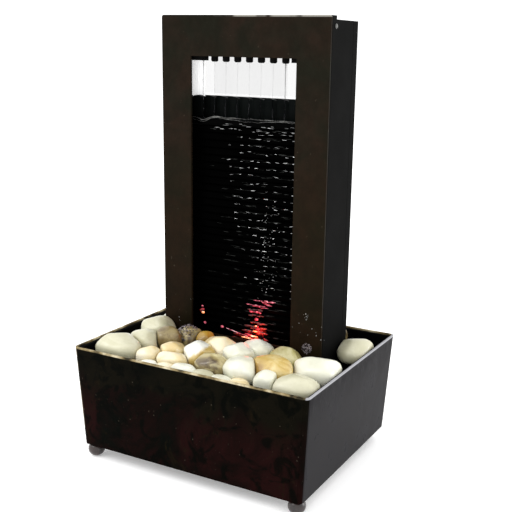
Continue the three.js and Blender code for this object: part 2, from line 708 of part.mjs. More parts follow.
// The nozzle comb under the trough: a bar with a row of short round nozzles, and a block at each end that the
// outermost threads of water leave.
function nozzleComb() {
  const front = TROUGH_FRONT;
  const back = front + 7;
  const bore = 0.7;
  const radius = 2.3;
  const tipRadius = 1.6;
  const blockBottom = NOZZLE_TIP + 0.6;
  const seat = NOZZLE_ROOT + 0.5;
  const bar = block(-PANEL_X, PANEL_X, front, back, NOZZLE_ROOT, COMB_TOP);
  const blockX = streamX(STREAMS - 1) - radius;
  const ends = [block(-PANEL_X, -blockX, front, back, blockBottom, COMB_TOP),
    block(blockX, PANEL_X, front, back, blockBottom, COMB_TOP)];
  const profile = [
    [bore, NOZZLE_TIP], [tipRadius, NOZZLE_TIP], [radius, NOZZLE_TIP + 0.8], [radius, seat], [bore, seat],
    [bore, NOZZLE_TIP],
  ];
  const xs = Array.from({ length: STREAMS }, (_, i) => streamX(i));
  const nozzles = xs.slice(1, -1).map((x) => solid(lathe(profile, 16, x, STREAM_Y, 0)));
  const drips = xs.map((x) => rodZ(x, STREAM_Y, NOZZLE_TIP - 1, COMB_TOP + 1, bore, 16));
  add('nozzle_comb', surface(cut(union([bar, ...ends, ...nozzles]), drips)), black);
}

function headerLid() {
  const lid = block(-TROUGH_X, TROUGH_X, TROUGH_FRONT, TROUGH_BACK, TROUGH_TOP + GAP, TROUGH_TOP + GAP + 1.2);
  const rim = TROUGH_WALL + GAP;
  const plug = block(-TROUGH_X + rim, TROUGH_X - rim, TROUGH_FRONT + rim, TROUGH_BACK - rim,
    TROUGH_TOP - 1, TROUGH_TOP + GAP + 0.6);
  const earTop = SHELL_TOP - SHELL_WALL - GAP;
  const ears = [-1, 1].map((side) => {
    const [x0, x1] = side > 0 ? [TROUGH_X - 6, TROUGH_X] : [-TROUGH_X, -TROUGH_X + 6];
    return block(x0, x1, TROUGH_FRONT, SIDE_SCREW_Y + 3, TROUGH_TOP + GAP + 1, earTop);
  });
  const holes = [-1, 1].map((side) => sideRod(side, TROUGH_X - 8, TROUGH_X + 1, SCREW_HOLE));
  add('header_lid', surface(cut(union([lid, plug, ...ears]), holes)), black);
}

function tubeForm(inner, outer, z0, z1, sides) {
  return [[inner, z0], [outer, z0], [outer, z1], [inner, z1], [inner, z0]];
}

// The spigot through the trough's floor that the riser tube pushes onto.
function headerInlet() {
  const spigot = RISER_BORE - GAP;
  const bore = SPIGOT_BORE;
  const flange = RISER_BORE + 0.5;
  const low = TROUGH_BOTTOM - 9;
  const seat = TROUGH_BOTTOM + TROUGH_WALL + GAP;
  const profile = [
    [bore, low], [spigot, low], [spigot, seat], [flange, seat], [flange, seat + 1.2], [bore, seat + 1.2],
    [bore, low],
  ];
  add('header_inlet', lathe(profile, 20, RISER_X, RISER_Y, 0), black);
}

function riserTube() {
  const profile = tubeForm(RISER_BORE, RISER_RADIUS, PUMP_HIGH + GAP + 0.4, TROUGH_BOTTOM - GAP);
  add('riser_tube', lathe(profile, 20, RISER_X, RISER_Y, 0), clear);
}

// A spring clip that holds the riser against the side wall.
function tubeClip() {
  const z = 150;
  const height = 6;
  const outer = RISER_RADIUS + GAP + 0.9;
  const wallFace = -(TOWER_X - SHELL_WALL) + GAP;
  const ring = rodZ(RISER_X, RISER_Y, z, z + height, outer, 20);
  const bore = rodZ(RISER_X, RISER_Y, z - 1, z + height + 1, RISER_RADIUS + GAP, 20);
  const foot = block(wallFace, RISER_X, RISER_Y - 4, RISER_Y - 4 + 1.6, z, z + height);
  const mouth = block(RISER_X, RISER_X + outer + 1, RISER_Y - 2.6, RISER_Y + 2.6, z - 1, z + height + 1);
  const trim = block(-TOWER_X - 5, wallFace, 0, TOWER_BACK, z - 1, z + height + 1);
  add('riser_clip', surface(cut(ring.add(foot), [bore, mouth, trim])), black);
}

// ---------------------------------------------------------------- lamp

function lamp() {
  const base = FRAME_BOTTOM + 2;
  const housing = [
    [0, base], [LAMP_RADIUS - 1, base], [LAMP_RADIUS, base + 1], [LAMP_RADIUS, LENS_BASE - GAP],
    [LAMP_RADIUS - 1, LENS_BASE - GAP], [LAMP_RADIUS - 1, LENS_BASE - 2], [0, LENS_BASE - 2],
  ];
  add('lamp_housing', lathe(housing, 20, LAMP_X, LAMP_Y, 0), black);
  const dome = [[0, LENS_BASE - 2 + GAP], [LAMP_RADIUS - 1.3, LENS_BASE - 2 + GAP]];
  const steps = 6;
  for (let i = 0; i <= steps; i++) {
    const angle = Math.PI / 2 * i / steps;
    dome.push([(LAMP_RADIUS - 1.3) * Math.cos(angle), LENS_BASE + 4 * Math.sin(angle)]);
  }
  dome[dome.length - 1][0] = 0;
  add('lamp_lens', lathe(dome, 20, LAMP_X, LAMP_Y, 0), redLens);
}

// ---------------------------------------------------------------- pump

const ROTOR_RADIUS = 6;
const CHAMBER_RADIUS = 10.6;

function pump() {
  const motor = block(PUMP_LEFT, PUMP_RIGHT, PUMP_FRONT, VOLUTE_FRONT - GAP, PUMP_LOW, PUMP_HIGH - 2);
  const well = rodY(PUMP_X, PUMP_Z, 2, VOLUTE_FRONT + 1, ROTOR_RADIUS + 0.8, 20);
  add('pump_motor', surface(motor.subtract(well)), black);

  const nozzleTop = PUMP_HIGH + 9;
  const volute = union([
    block(PUMP_LEFT, PUMP_RIGHT, VOLUTE_FRONT, VOLUTE_BACK, PUMP_LOW, PUMP_HIGH),
    rodZ(RISER_X, RISER_Y, PUMP_HIGH - 1, nozzleTop, RISER_BORE - GAP, 20),
  ]);
  const chamber = rodY(PUMP_X, PUMP_Z, VOLUTE_FRONT + 1.2, VOLUTE_BACK + 1, CHAMBER_RADIUS, 24);
  const throat = rodY(PUMP_X, PUMP_Z, VOLUTE_FRONT - 1, VOLUTE_FRONT + 3, ROTOR_RADIUS + 0.8, 20);
  const outlet = rodZ(RISER_X, RISER_Y, PUMP_Z, nozzleTop + 1, SPIGOT_BORE, 16);
  add('pump_volute', surface(cut(volute, [chamber, throat, outlet])), black);

  const coverFront = VOLUTE_BACK + GAP;
  const cover = block(PUMP_LEFT, PUMP_RIGHT, coverFront, COVER_BACK - 0.9, PUMP_LOW, PUMP_HIGH);
  const slots = [-8, -4, 0, 4, 8].map((x) => block(PUMP_X + x - 1.1, PUMP_X + x + 1.1, coverFront - 1,
    COVER_BACK + 1, PUMP_Z - 3, PUMP_Z + 7));
  const track = block(PUMP_LEFT + 2, PUMP_RIGHT - 2, COVER_BACK - 1.9, COVER_BACK,
    PUMP_Z - 8.3, PUMP_Z - 3.7);
  add('pump_cover', surface(cut(cover, [...slots, track])), black);

  const slide = union([
    block(PUMP_X - 9, PUMP_X + 1, COVER_BACK - 1.6, COVER_BACK - 0.6, PUMP_Z - 8, PUMP_Z - 4),
    block(PUMP_X - 5, PUMP_X - 3, COVER_BACK - 0.8, COVER_BACK + 0.5, PUMP_Z - 8, PUMP_Z - 4),
  ]);
  add('flow_slider', surface(slide), rubber);

  const rotor = rodY(PUMP_X, PUMP_Z, 3.5, VOLUTE_FRONT + 1.4, ROTOR_RADIUS, 20);
  const bore = rodY(PUMP_X, PUMP_Z, 0, VOLUTE_BACK + 2, 1.4, 16);
  add('rotor_magnet', surface(rotor.subtract(bore)), magnet);

  const hubFront = VOLUTE_FRONT + 1.4 + GAP;
  const blades = Array.from({ length: 6 }, (_, i) => {
    const geometry = new THREE.BoxGeometry(7, VOLUTE_BACK - 1 - hubFront, 1.2);
    geometry.translate(5.2, (hubFront + VOLUTE_BACK - 1) / 2, 0);
    geometry.rotateY(i * Math.PI / 3);
    geometry.translate(PUMP_X, 0, PUMP_Z);
    return solid(geometry);
  });
  const hub = rodY(PUMP_X, PUMP_Z, hubFront, VOLUTE_BACK - 1, 3.2, 16);
  add('impeller', surface(union([hub, ...blades]).subtract(bore)), ceramic);

  const shaft = rodY(PUMP_X, PUMP_Z, 2.4, VOLUTE_BACK - GAP, 1, 12);
  add('rotor_shaft', surface(shaft), ceramic);

  const cup = [
    [0, TOWER_BOTTOM + 1], [2.4, TOWER_BOTTOM + 0.8], [3.8, TOWER_BOTTOM], [4.2, TOWER_BOTTOM],
    [3.4, TOWER_BOTTOM + 1.6], [1.4, PUMP_LOW - GAP], [0, PUMP_LOW - GAP],
  ];
  let count = 0;
  for (const x of [PUMP_LEFT + 5, PUMP_RIGHT - 5]) {
    for (const y of [PUMP_FRONT + 5, VOLUTE_FRONT - 5]) {
      count += 1;
      add(`suction_cup_${count}`, lathe(cup, 16, x, y, 0), rubber);
    }
  }
}

// ---------------------------------------------------------------- assembly

basin();
feet();
cableGrommet();
pump();
pebbleDeck();
pebbles();
frontFrame();
towerShell();
rearCover();
screws();
cascadePanel();
catchWeir();
headerTrough();
nozzleComb();
headerLid();
headerInlet();
riserTube();
tubeClip();
lamp();

export default fountain;
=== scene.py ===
"""Looks for the tabletop water fountain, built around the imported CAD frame. Metres, +Z up."""

import math
import random

import bmesh
import bpy
from mathutils import Matrix, Vector, noise
from mathutils.bvhtree import BVHTree


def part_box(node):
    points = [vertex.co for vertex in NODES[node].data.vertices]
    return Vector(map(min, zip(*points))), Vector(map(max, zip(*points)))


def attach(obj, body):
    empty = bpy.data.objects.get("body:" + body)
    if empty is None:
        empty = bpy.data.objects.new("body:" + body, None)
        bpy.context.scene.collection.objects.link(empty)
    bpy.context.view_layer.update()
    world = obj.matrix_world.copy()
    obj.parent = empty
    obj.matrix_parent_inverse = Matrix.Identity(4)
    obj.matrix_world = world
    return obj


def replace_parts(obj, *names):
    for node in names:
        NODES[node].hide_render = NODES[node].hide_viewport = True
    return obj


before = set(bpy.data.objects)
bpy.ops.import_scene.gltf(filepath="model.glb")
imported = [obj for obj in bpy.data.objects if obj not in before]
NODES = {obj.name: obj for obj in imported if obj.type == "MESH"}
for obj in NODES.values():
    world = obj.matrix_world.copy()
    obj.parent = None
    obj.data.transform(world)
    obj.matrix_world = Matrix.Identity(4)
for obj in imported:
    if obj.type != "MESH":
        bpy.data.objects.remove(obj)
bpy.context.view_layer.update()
MM = 0.001

# ---------------------------------------------------------------- sizes
# In millimetres. Those of solid pieces repeat the CAD's.

STREAMS = 9                             # threads of falling water
STREAM_PITCH = 8.5
STREAM_Y = 9.5
STREAM_RADIUS = 0.27
NOZZLE_TIP = 254.8
SHADE_SHEET_Y = 20.5                           # the front one of the two grey sheets of painted shade in the window
SHADE_SHEET_GAP = 1.5                          # from one sheet to the other
SHADE_SHEET_LEAN = -5.8                        # the front sheet stands this far off the window's middle
SHADE_SHEET_MARGIN = 4.0
OPENING_X = 37.5                        # half the window's width
LIP_TOP = 219.3
FLUTE_TOP = 233
PANEL_FRONT = 7.6
PANEL_TOP = 215
RIB_PITCH = 4.8
TOWER_TOP = 283
TOWER_FOOT = 14.0
SHELL_TOP = 279.0
SHELL_INSIDE = 57.9
COVER_SEAM_Y = 32.15
GASKET_SIZE = (0.8, 3.2)                # thickness and width
GASKET_INSET = 0.45                     # from the shell's inner face to the gasket's middle
BASIN_HALF = (84, 66)
BASIN_TAPER = (4, 2.5)
BASIN_RIM_Z = 76
FOOT_HEIGHT = 9
BALL_MIDDLE_Z = 4.7                     # a foot is a ball, cut flat by the floor and by the basin
BALL_RADIUS = 5.0
BALL_TOP = 8.7
LAMP_X = 12
LAMP_Y = 7.4
LENS_BASE = 81
LENS_CUT = 0.35                         # share of the lens ball's radius that is kept below its middle
LENS_LIGHT_POWER = 0.010
LENS_LIGHT_RADIUS = 0.004               # metres
DECK_TOP = 64.8
POOL_HALF = (79.5, 61.5)
POOL_TOP = 58

# Small pebbles that the CAD joins into rows: centre x, y, half length, half width, half height.
BACK_ROW = [
    (-70, 10, 9.5, 11.5, 6.5), (-70, 29, 9.5, 11.5, 6), (-69, 47, 10.5, 10, 9), (-52, 51, 11, 8.6, 10),
    (-33, 50, 12, 8.8, 8), (-13, 51, 12, 8.6, 9), (8, 50, 12, 8.8, 10), (28, 51, 11.5, 8.6, 8),
    (45, 51, 9, 8.6, 8),
]
FRONT_ROW = [
    (-30, -58, 7.5, 4.5, 5), (-18, -58, 7, 4.5, 5.2), (-5, -57.6, 9, 5, 6.2),
    (9, -57.4, 8, 5, 5.4), (22, -57.4, 8, 5, 5), (34, -57.4, 6.5, 5, 5.2),
]
# the last kind is a dark tan, for the stone that peeks out beside the tower where the basin shows only shade:
# painted shade
BACK_KINDS = ["cream", "white", "ochre", "cream", "peach", "white", "olive", "brown", "tan"]
FRONT_KINDS = ["white", "peach", "white", "cream"]
BACK_SEED = 40
FRONT_SEED = 60

# ---------------------------------------------------------------- camera

CAMERA_PLACE = Vector((0.27735, -0.46650, 0.26328))
CAMERA_AIM = Vector((-0.45154, 0.85911, -0.24092))
CAMERA_ROLL = 1.213                     # degrees
SENSOR_WIDTH = 36
FOCAL_LENGTH = 60.71
LENS_SHIFT = (-0.0547, 0.0150)


def add_camera():
    data = bpy.data.cameras.new("camera")
    data.sensor_width = SENSOR_WIDTH
    data.lens = FOCAL_LENGTH
    data.shift_x, data.shift_y = LENS_SHIFT
    data.clip_start = 0.01
    level = CAMERA_AIM.cross(Vector((0, 0, 1))).normalized()
    upright = level.cross(CAMERA_AIM).normalized()
    roll = math.radians(CAMERA_ROLL)
    right = math.cos(roll) * level + math.sin(roll) * upright
    up = -math.sin(roll) * level + math.cos(roll) * upright
    turn = Matrix((right, up, -CAMERA_AIM)).transposed().to_4x4()
    camera = bpy.data.objects.new("camera", data)
    camera.matrix_world = Matrix.Translation(CAMERA_PLACE) @ turn
    bpy.context.scene.collection.objects.link(camera)
    bpy.context.scene.camera = camera


# ---------------------------------------------------------------- materials
# Colours are linear. Scales, ramp stops and band limits without a name were set one by one.

FRAME_OLIVE_Z = (150, 235)              # the frame turns from warm brown to olive between these heights
FRAME_WEAR_AND_HIGHLIGHT_X = (-22, -2)                # its top edge is worn, with a painted highlight along the wear, to the right of these
EDGE_WEAR_AND_HIGHLIGHT = (1.3, 0.6)                  # wear and a painted highlight start and are full this far below the frame's top
BASIN_DARK_Z = (100, 124)               # the basin turns from maroon to black between these heights
BASIN_WANDER = 110.0                    # which clouds raise by up to this much
BASIN_CORNER_WEAR_AND_HIGHLIGHT = (2.6, 1.0)          # wear and a painted highlight start and are full this far from a corner edge
BASIN_RIM_WEAR_AND_HIGHLIGHT = (1.3, 0.7)             # and this far below the rim, where the gilt line carries a painted highlight
BASIN_SHADE_Z = 52                      # the right wall's painted sheen darkens, as painted shade, from here up to the rim
BASIN_DRIPS_Z = (58, 70)
# past these the rim is painted silver on the right wall: a painted highlight
SILVER_HIGHLIGHT_X = (BASIN_HALF[0] - 2.5, BASIN_HALF[0] - 1.5)

class Paint:
    """A Principled material, with procedural textures wired into it. Texture scales are per millimetre."""

    def __init__(self, name, color, roughness=0.5, **sockets):
        self.material = bpy.data.materials.new(name)
        self.material.use_nodes = True
        self.tree = self.material.node_tree
        self.shader = self.tree.nodes["Principled BSDF"]
        self.shader.inputs["Base Color"].default_value = (*color, 1)
        self.shader.inputs["Roughness"].default_value = roughness
        for socket, value in sockets.items():
            self.shader.inputs[socket.replace("_", " ")].default_value = value
        self.place = self.tree.nodes.new("ShaderNodeTexCoord").outputs["Object"]

    def link(self, output, target):
        self.tree.links.new(output, target)

    def node(self, kind, **settings):
        made = self.tree.nodes.new(kind)
        for key, value in settings.items():
            setattr(made, key, value)
        return made

    def math(self, operation, a, b=None, c=None):
        made = self.node("ShaderNodeMath", operation=operation)
        for i, value in enumerate((a, b, c)):
            if value is None:
                continue
            if isinstance(value, (int, float)):
                made.inputs[i].default_value = value
            else:
                self.link(value, made.inputs[i])
        return made.outputs[0]

    def axes(self):
        split = self.node("ShaderNodeSeparateXYZ")
        self.link(self.place, split.inputs[0])
        return [self.math("MULTIPLY", split.outputs[i], 1000.0) for i in range(3)]

    def stretched(self, stretch, shift):
        mapping = self.node("ShaderNodeMapping")
        mapping.inputs["Scale"].default_value = [1000 * s for s in stretch]
        mapping.inputs["Location"].default_value = (shift, shift * 0.7, shift * 1.3)
        self.link(self.place, mapping.inputs["Vector"])
        return mapping.outputs[0]

    def noise(self, scale, detail=3.0, stretch=(1, 1, 1), rough=0.5, distort=0.0, shift=0.0):
        made = self.node("ShaderNodeTexNoise")
        made.inputs["Scale"].default_value = scale
        made.inputs["Detail"].default_value = detail
        made.inputs["Roughness"].default_value = rough
        made.inputs["Distortion"].default_value = distort
        self.link(self.stretched(stretch, shift), made.inputs["Vector"])
        return made.outputs["Fac"]

    def ramp(self, factor, *stops):
        made = self.node("ShaderNodeValToRGB")
        ramp = made.color_ramp
        while len(ramp.elements) < len(stops):
            ramp.elements.new(0.5)
        for element, (position, color) in zip(ramp.elements, stops):
            element.position = position
            element.color = (*color, 1)
        self.link(factor, made.inputs["Fac"])
        return made.outputs["Color"]

    def band(self, value, low, high, to_low=0.0, to_high=1.0):
        """A smooth step from to_low to to_high, as the value goes from low to high."""
        made = self.node("ShaderNodeMapRange", interpolation_type="SMOOTHSTEP")
        limits = {"From Min": low, "From Max": high, "To Min": to_low, "To Max": to_high}
        for socket, number in limits.items():
            made.inputs[socket].default_value = number
        self.link(value, made.inputs["Value"])
        return made.outputs["Result"]

    def mix(self, factor, a, b):
        made = self.node("ShaderNodeMix", data_type="RGBA")
        self.link(factor, made.inputs["Factor"])
        for socket, value in ((6, a), (7, b)):
            if isinstance(value, tuple):
                made.inputs[socket].default_value = (*value, 1)
            else:
                self.link(value, made.inputs[socket])
        return made.outputs[2]

    def color(self, output):
        self.link(output, self.shader.inputs["Base Color"])
        return self

    def roughness(self, factor, low, high):
        self.link(self.band(factor, 0.3, 0.7, low, high), self.shader.inputs["Roughness"])
        return self

    def bump(self, height, depth, strength=0.5):
        made = self.node("ShaderNodeBump")
        made.inputs["Strength"].default_value = strength
        made.inputs["Distance"].default_value = depth * MM
        self.link(height, made.inputs["Height"])
        self.link(made.outputs["Normal"], self.shader.inputs["Normal"])
        return self


def grey(level):
    return (level, level, level)


def frame_bronze():
    """Bronze paint: olive grey with reddish patches at the top, warm brown below, worn on its top edge, where
    a light broken line is also a painted highlight.
    """
    paint = Paint("frame_bronze", (0.010, 0.007, 0.005), 0.5, Specular_IOR_Level=0.03)
    x, _, z = paint.axes()
    clouds = paint.noise(0.03, 5, rough=0.6, distort=0.6)
    grain = paint.noise(0.9, 3, stretch=(1, 1, 0.6), shift=5)
    olive = paint.ramp(clouds, (0.38, (0.0088, 0.0084, 0.0050)), (0.60, (0.0150, 0.0092, 0.0058)))
    warm = paint.ramp(clouds, (0.40, (0.0088, 0.0066, 0.0028)), (0.60, (0.0130, 0.0074, 0.0036)))
    tone = paint.mix(paint.band(z, *FRAME_OLIVE_Z), warm, olive)
    patches = paint.noise(0.14, 5, stretch=(1, 1, 0.8), rough=0.7, shift=15)
    mottle = paint.band(patches, 0.34, 0.66, 0.0, 0.42)
    grained = paint.mix(mottle, tone, (0.0046, 0.0034, 0.0016))
    speck = paint.band(paint.noise(0.35, 4, shift=21), 0.68, 0.78)
    flecked = paint.mix(speck, grained, (0.040, 0.032, 0.022))
    # a light broken line along the top edge, right of the middle: wear, and a painted highlight where the
    # edge catches the light
    edge = paint.band(z, TOWER_TOP - EDGE_WEAR_AND_HIGHLIGHT[0], TOWER_TOP - EDGE_WEAR_AND_HIGHLIGHT[1])
    broken = paint.band(paint.noise(0.06, 3, stretch=(1, 0.1, 0.1), shift=13), 0.42, 0.54)
    wear_and_highlight = paint.math("MULTIPLY", paint.math("MULTIPLY", edge, broken), paint.band(x, *FRAME_WEAR_AND_HIGHLIGHT_X))
    paint.color(paint.mix(wear_and_highlight, flecked, (0.26, 0.25, 0.22)))
    return paint.roughness(clouds, 0.42, 0.6).bump(grain, 0.05, 0.35).material


def basin_edges(paint, x, y, z):
    """Two masks on the basin: the worn edges at its left corners, which also carry a painted highlight, and
    its rim, whose gilt line also carries one.
    """
    rise = paint.math("DIVIDE", paint.math("SUBTRACT", z, FOOT_HEIGHT), BASIN_RIM_Z - FOOT_HEIGHT)
    inset = paint.math("SUBTRACT", 1.0, rise)
    gaps = []
    for axis, half, taper in zip((x, y), BASIN_HALF, BASIN_TAPER):
        edge = paint.math("SUBTRACT", float(half), paint.math("MULTIPLY", inset, float(taper)))
        gaps.append(paint.math("SUBTRACT", edge, paint.math("ABSOLUTE", axis)))
    corner = paint.band(paint.math("MAXIMUM", *gaps), *BASIN_CORNER_WEAR_AND_HIGHLIGHT)
    left = paint.math("LESS_THAN", x, 0.0)
    rim = paint.band(z, BASIN_RIM_Z - BASIN_RIM_WEAR_AND_HIGHLIGHT[0], BASIN_RIM_Z - BASIN_RIM_WEAR_AND_HIGHLIGHT[1])
    return paint.math("MULTIPLY", corner, left), rim


def basin_bronze():
    """Bronze paint, nearly black under the rim and a blotched maroon below, with painted highlights on the
    left corners and the rim; the right wall has a painted grey sheen, darkened by painted shade towards the
    rim.
    """
    paint = Paint("basin_bronze", (0.006, 0.004, 0.003), 0.34, Specular_IOR_Level=0.012)
    x, y, z = paint.axes()
    clouds = paint.noise(0.022, 6, rough=0.62, distort=1.2)
    smears = paint.noise(0.05, 5, stretch=(1, 1, 0.55), rough=0.6, distort=2.0, shift=9)
    height = paint.math("ADD", z, paint.math("MULTIPLY", clouds, BASIN_WANDER))
    dark = paint.ramp(clouds, (0.40, (0.0008, 0.0013, 0.0007)), (0.60, (0.0034, 0.0028, 0.0014)))
    maroon = paint.ramp(clouds, (0.38, (0.0010, 0.0014, 0.0008)), (0.47, (0.0036, 0.0014, 0.0010)),
                        (0.62, (0.0090, 0.0022, 0.0020)))
    base = paint.mix(paint.band(height, *BASIN_DARK_Z), maroon, dark)
    lighter = paint.band(smears, 0.58, 0.70, 0.0, 0.6)
    smeared = paint.mix(lighter, base, (0.0080, 0.0056, 0.0022))
    blotch = paint.band(paint.noise(0.07, 5, rough=0.6, distort=1.0, shift=27), 0.50, 0.62, 0.0, 0.85)
    blotched = paint.mix(blotch, smeared, (0.0005, 0.0008, 0.0004))
    fleck = paint.band(paint.noise(0.5, 4, shift=31), 0.70, 0.76)
    mottled = paint.mix(fleck, blotched, (0.05, 0.042, 0.03))
    corner, rim = basin_edges(paint, x, y, z)
    broken = paint.band(paint.noise(0.28, 4, stretch=(1, 1, 0.4), shift=3), 0.40, 0.60)
    # only the left corners turn lighter tan: wear, and a painted highlight from the light on the left
    wear_and_highlight = paint.mix(paint.math("MULTIPLY", corner, broken), mottled, (0.20, 0.15, 0.095))
    # the rim: worn gilt whose brightness is also a painted highlight, and silver on the right wall, a painted
    # highlight
    gilt_and_highlight = paint.ramp(paint.noise(0.09, 4, shift=17), (0.36, (0.03, 0.025, 0.015)),
                      (0.50, (0.26, 0.20, 0.10)), (0.64, (0.62, 0.55, 0.38)))
    # painted sheen: the right-facing wall is painted satin grey, lighter than the front, for the light it
    # reflects, and it darkens towards the rim as painted shade
    painted_sheen = paint.ramp(smears, (0.35, (0.0166, 0.016, 0.0178)), (0.65, (0.0245, 0.0235, 0.0245)))
    facing = paint.node("ShaderNodeSeparateXYZ")
    paint.link(paint.node("ShaderNodeTexCoord").outputs["Normal"], facing.inputs[0])
    shaded = paint.mix(paint.band(z, BASIN_SHADE_Z, BASIN_RIM_Z), painted_sheen, (0.0135, 0.0128, 0.0140))
    runs = paint.noise(0.35, 4, stretch=(1, 1, 0.3), distort=1.5, shift=41)
    drips = paint.math("MULTIPLY", paint.band(runs, 0.56, 0.66, 0.0, 0.7), paint.band(z, *BASIN_DRIPS_Z))
    sheen_with_drips = paint.mix(drips, shaded, (0.034, 0.033, 0.035))
    sheet = paint.mix(paint.band(facing.outputs[0], 0.86, 0.95), wear_and_highlight, sheen_with_drips)
    rim_with_silver_highlight = paint.mix(paint.band(x, *SILVER_HIGHLIGHT_X), gilt_and_highlight, (0.34, 0.34, 0.36))
    paint.color(paint.mix(rim, sheet, rim_with_silver_highlight))
    grain = paint.noise(0.7, 3, shift=5)
    return paint.roughness(smears, 0.26, 0.44).bump(grain, 0.04, 0.25).material


def plain_plastic(name, color, roughness, specular=0.2, texture=1.2, depth=0.04):
    """One colour, a little lighter in clouds, with a fine moulded grain."""
    paint = Paint(name, color, roughness, Specular_IOR_Level=specular)
    clouds = paint.noise(0.06, 3)
    lighter = tuple(min(1, c * 1.35 + 0.0001) for c in color)
    paint.color(paint.ramp(clouds, (0.35, color), (0.7, lighter)))
    return paint.bump(paint.noise(texture, 2, shift=4), depth, 0.3).material


def flute_gloss():
    """The weir's gloss black: a green cast on the flutes, and deep black painted on the gutter below the lip
    as painted shade.
    """
    paint = Paint("flute_gloss", grey(0.002), 0.35, Specular_IOR_Level=0.012)
    _, _, z = paint.axes()
    cast = paint.ramp(paint.noise(0.1, 3), (0.35, (0.0026, 0.0034, 0.0032)), (0.65, (0.0040, 0.0050, 0.0048)))
    # below the lip the colour is all but black: painted shade on the gutter's front, which the lamps light
    # more
    paint.color(paint.mix(paint.band(z, LIP_TOP - 0.6, LIP_TOP + 0.6), grey(0.0002), cast))
    return paint.bump(paint.noise(0.5, 2, shift=4), 0.08, 0.3).material


def pool_water():
    paint = Paint("pool_water", (0.55, 0.6, 0.6), 0.02, IOR=1.33, Transmission_Weight=1.0)
    return paint.bump(paint.noise(0.25, 2, distort=1.0), 0.3, 0.6).material


def glint_material():
    """A bright drop: the white highlights in a lit bead of water, and the dark between them."""
    paint = Paint("water_glint", (0.75, 0.77, 0.78), 0.1, Specular_IOR_Level=0.9, Coat_Weight=0.6)
    tone = paint.noise(0.4, 2, shift=2)
    paint.color(paint.ramp(tone, (0.35, grey(0.06)), (0.52, (0.34, 0.35, 0.35)), (0.67, grey(0.92))))
    return paint.material


def faint_glint_material():
    paint = Paint("water_faint_glint", (0.02, 0.02, 0.02), 0.3, Specular_IOR_Level=0.02)
    tone = paint.noise(0.3, 2, shift=4)
    paint.color(paint.ramp(tone, (0.38, (0.003, 0.0035, 0.003)), (0.66, (0.035, 0.037, 0.035))))
    return paint.material


def glowing(name, dark, bright, strength):
    """Red light caught in water, in bright and dim patches."""
    paint = Paint(name, dark, 0.2, Specular_IOR_Level=0.5, Emission_Strength=strength)
    patches = paint.noise(0.5, 2, stretch=(1, 1, 2), shift=6)
    tone = paint.ramp(patches, (0.40, tuple(c * 0.35 for c in dark)), (0.55, dark), (0.70, bright))
    paint.color(tone)
    paint.link(tone, paint.shader.inputs["Emission Color"])
    return paint.material


# A dark, a middle and a light colour for each kind of stone.
STONE_COLORS = {
    "cream": ((0.46, 0.44, 0.28), (0.55, 0.53, 0.37), (0.62, 0.60, 0.45)),
    "white": ((0.66, 0.65, 0.50), (0.75, 0.75, 0.63), (0.84, 0.84, 0.76)),
    "ochre": ((0.34, 0.20, 0.045), (0.56, 0.40, 0.12), (0.68, 0.55, 0.26)),
    "peach": ((0.62, 0.46, 0.19), (0.74, 0.61, 0.34), (0.84, 0.77, 0.58)),
    "tan": ((0.09, 0.062, 0.022), (0.17, 0.12, 0.045), (0.30, 0.24, 0.11)),
    "brown": ((0.10, 0.07, 0.04), (0.36, 0.29, 0.13), (0.62, 0.55, 0.31)),
    "olive": ((0.26, 0.21, 0.06), (0.38, 0.34, 0.13), (0.52, 0.48, 0.27)),
    "amber": ((0.24, 0.14, 0.018), (0.46, 0.28, 0.04), (0.62, 0.43, 0.10)),
}
VEINED_KINDS = ("ochre", "brown", "olive", "tan")


def stone_material(kind, seed, split_at=None):
    """River stone of one kind, clouded and veined. A split stone is white on its upper left side."""
    low, middle, high = STONE_COLORS[kind]
    paint = Paint(f"stone_{kind}_{seed}", middle, 0.42, Specular_IOR_Level=0.45, Coat_Weight=0.35,
                  Coat_Roughness=0.12)
    scale, distort, pitted = (0.05, 1.5, 0.35) if kind in VEINED_KINDS else (0.035, 0.6, 0.15)
    clouds = paint.noise(scale, 5, rough=0.55, distort=distort, shift=7.0 * seed)
    base = paint.ramp(clouds, (0.34, low), (0.5, middle), (0.64, high))
    folds = paint.noise(0.11, 4, stretch=(0.5, 1, 1.4), distort=2.2, shift=3.0 * seed)
    vein = paint.band(folds, 0.54, 0.66, 0, 0.55)
    streaked = paint.mix(vein, base, high if kind != "white" else middle)
    pits = paint.band(paint.noise(0.55, 5, rough=0.7, shift=5.0 * seed), 0.30, 0.42, pitted, 0.0)
    if split_at:
        x, _, z = paint.axes()
        rightward = paint.math("SUBTRACT", x, split_at.x)
        upward = paint.math("SUBTRACT", z, split_at.z)
        across = paint.math("SUBTRACT", rightward, upward)
        wander = paint.math("MULTIPLY_ADD", clouds, 14.0, -7.0)
        side = paint.band(paint.math("ADD", across, wander), -3, 1)
        streaked = paint.mix(side, STONE_COLORS["white"][2], streaked)
    paint.color(paint.mix(pits, streaked, tuple(c * 0.55 for c in low)))
    grain = paint.noise(0.6, 5, rough=0.6, shift=seed)
    return paint.roughness(clouds, 0.3, 0.5).bump(grain, 0.12, 0.4).material


# ---------------------------------------------------------------- meshes


def link_mesh(name, mesh):
    made = bpy.data.objects.new(name, mesh)
    bpy.context.scene.collection.objects.link(made)
    return made


def from_bmesh(name, form, material, body, smooth=True):
    mesh = bpy.data.meshes.new(name)
    form.to_mesh(mesh)
    form.free()
    if smooth:
        mesh.shade_smooth()
    mesh.materials.append(material)
    made = link_mesh(name, mesh)
    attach(made, body)
    return made


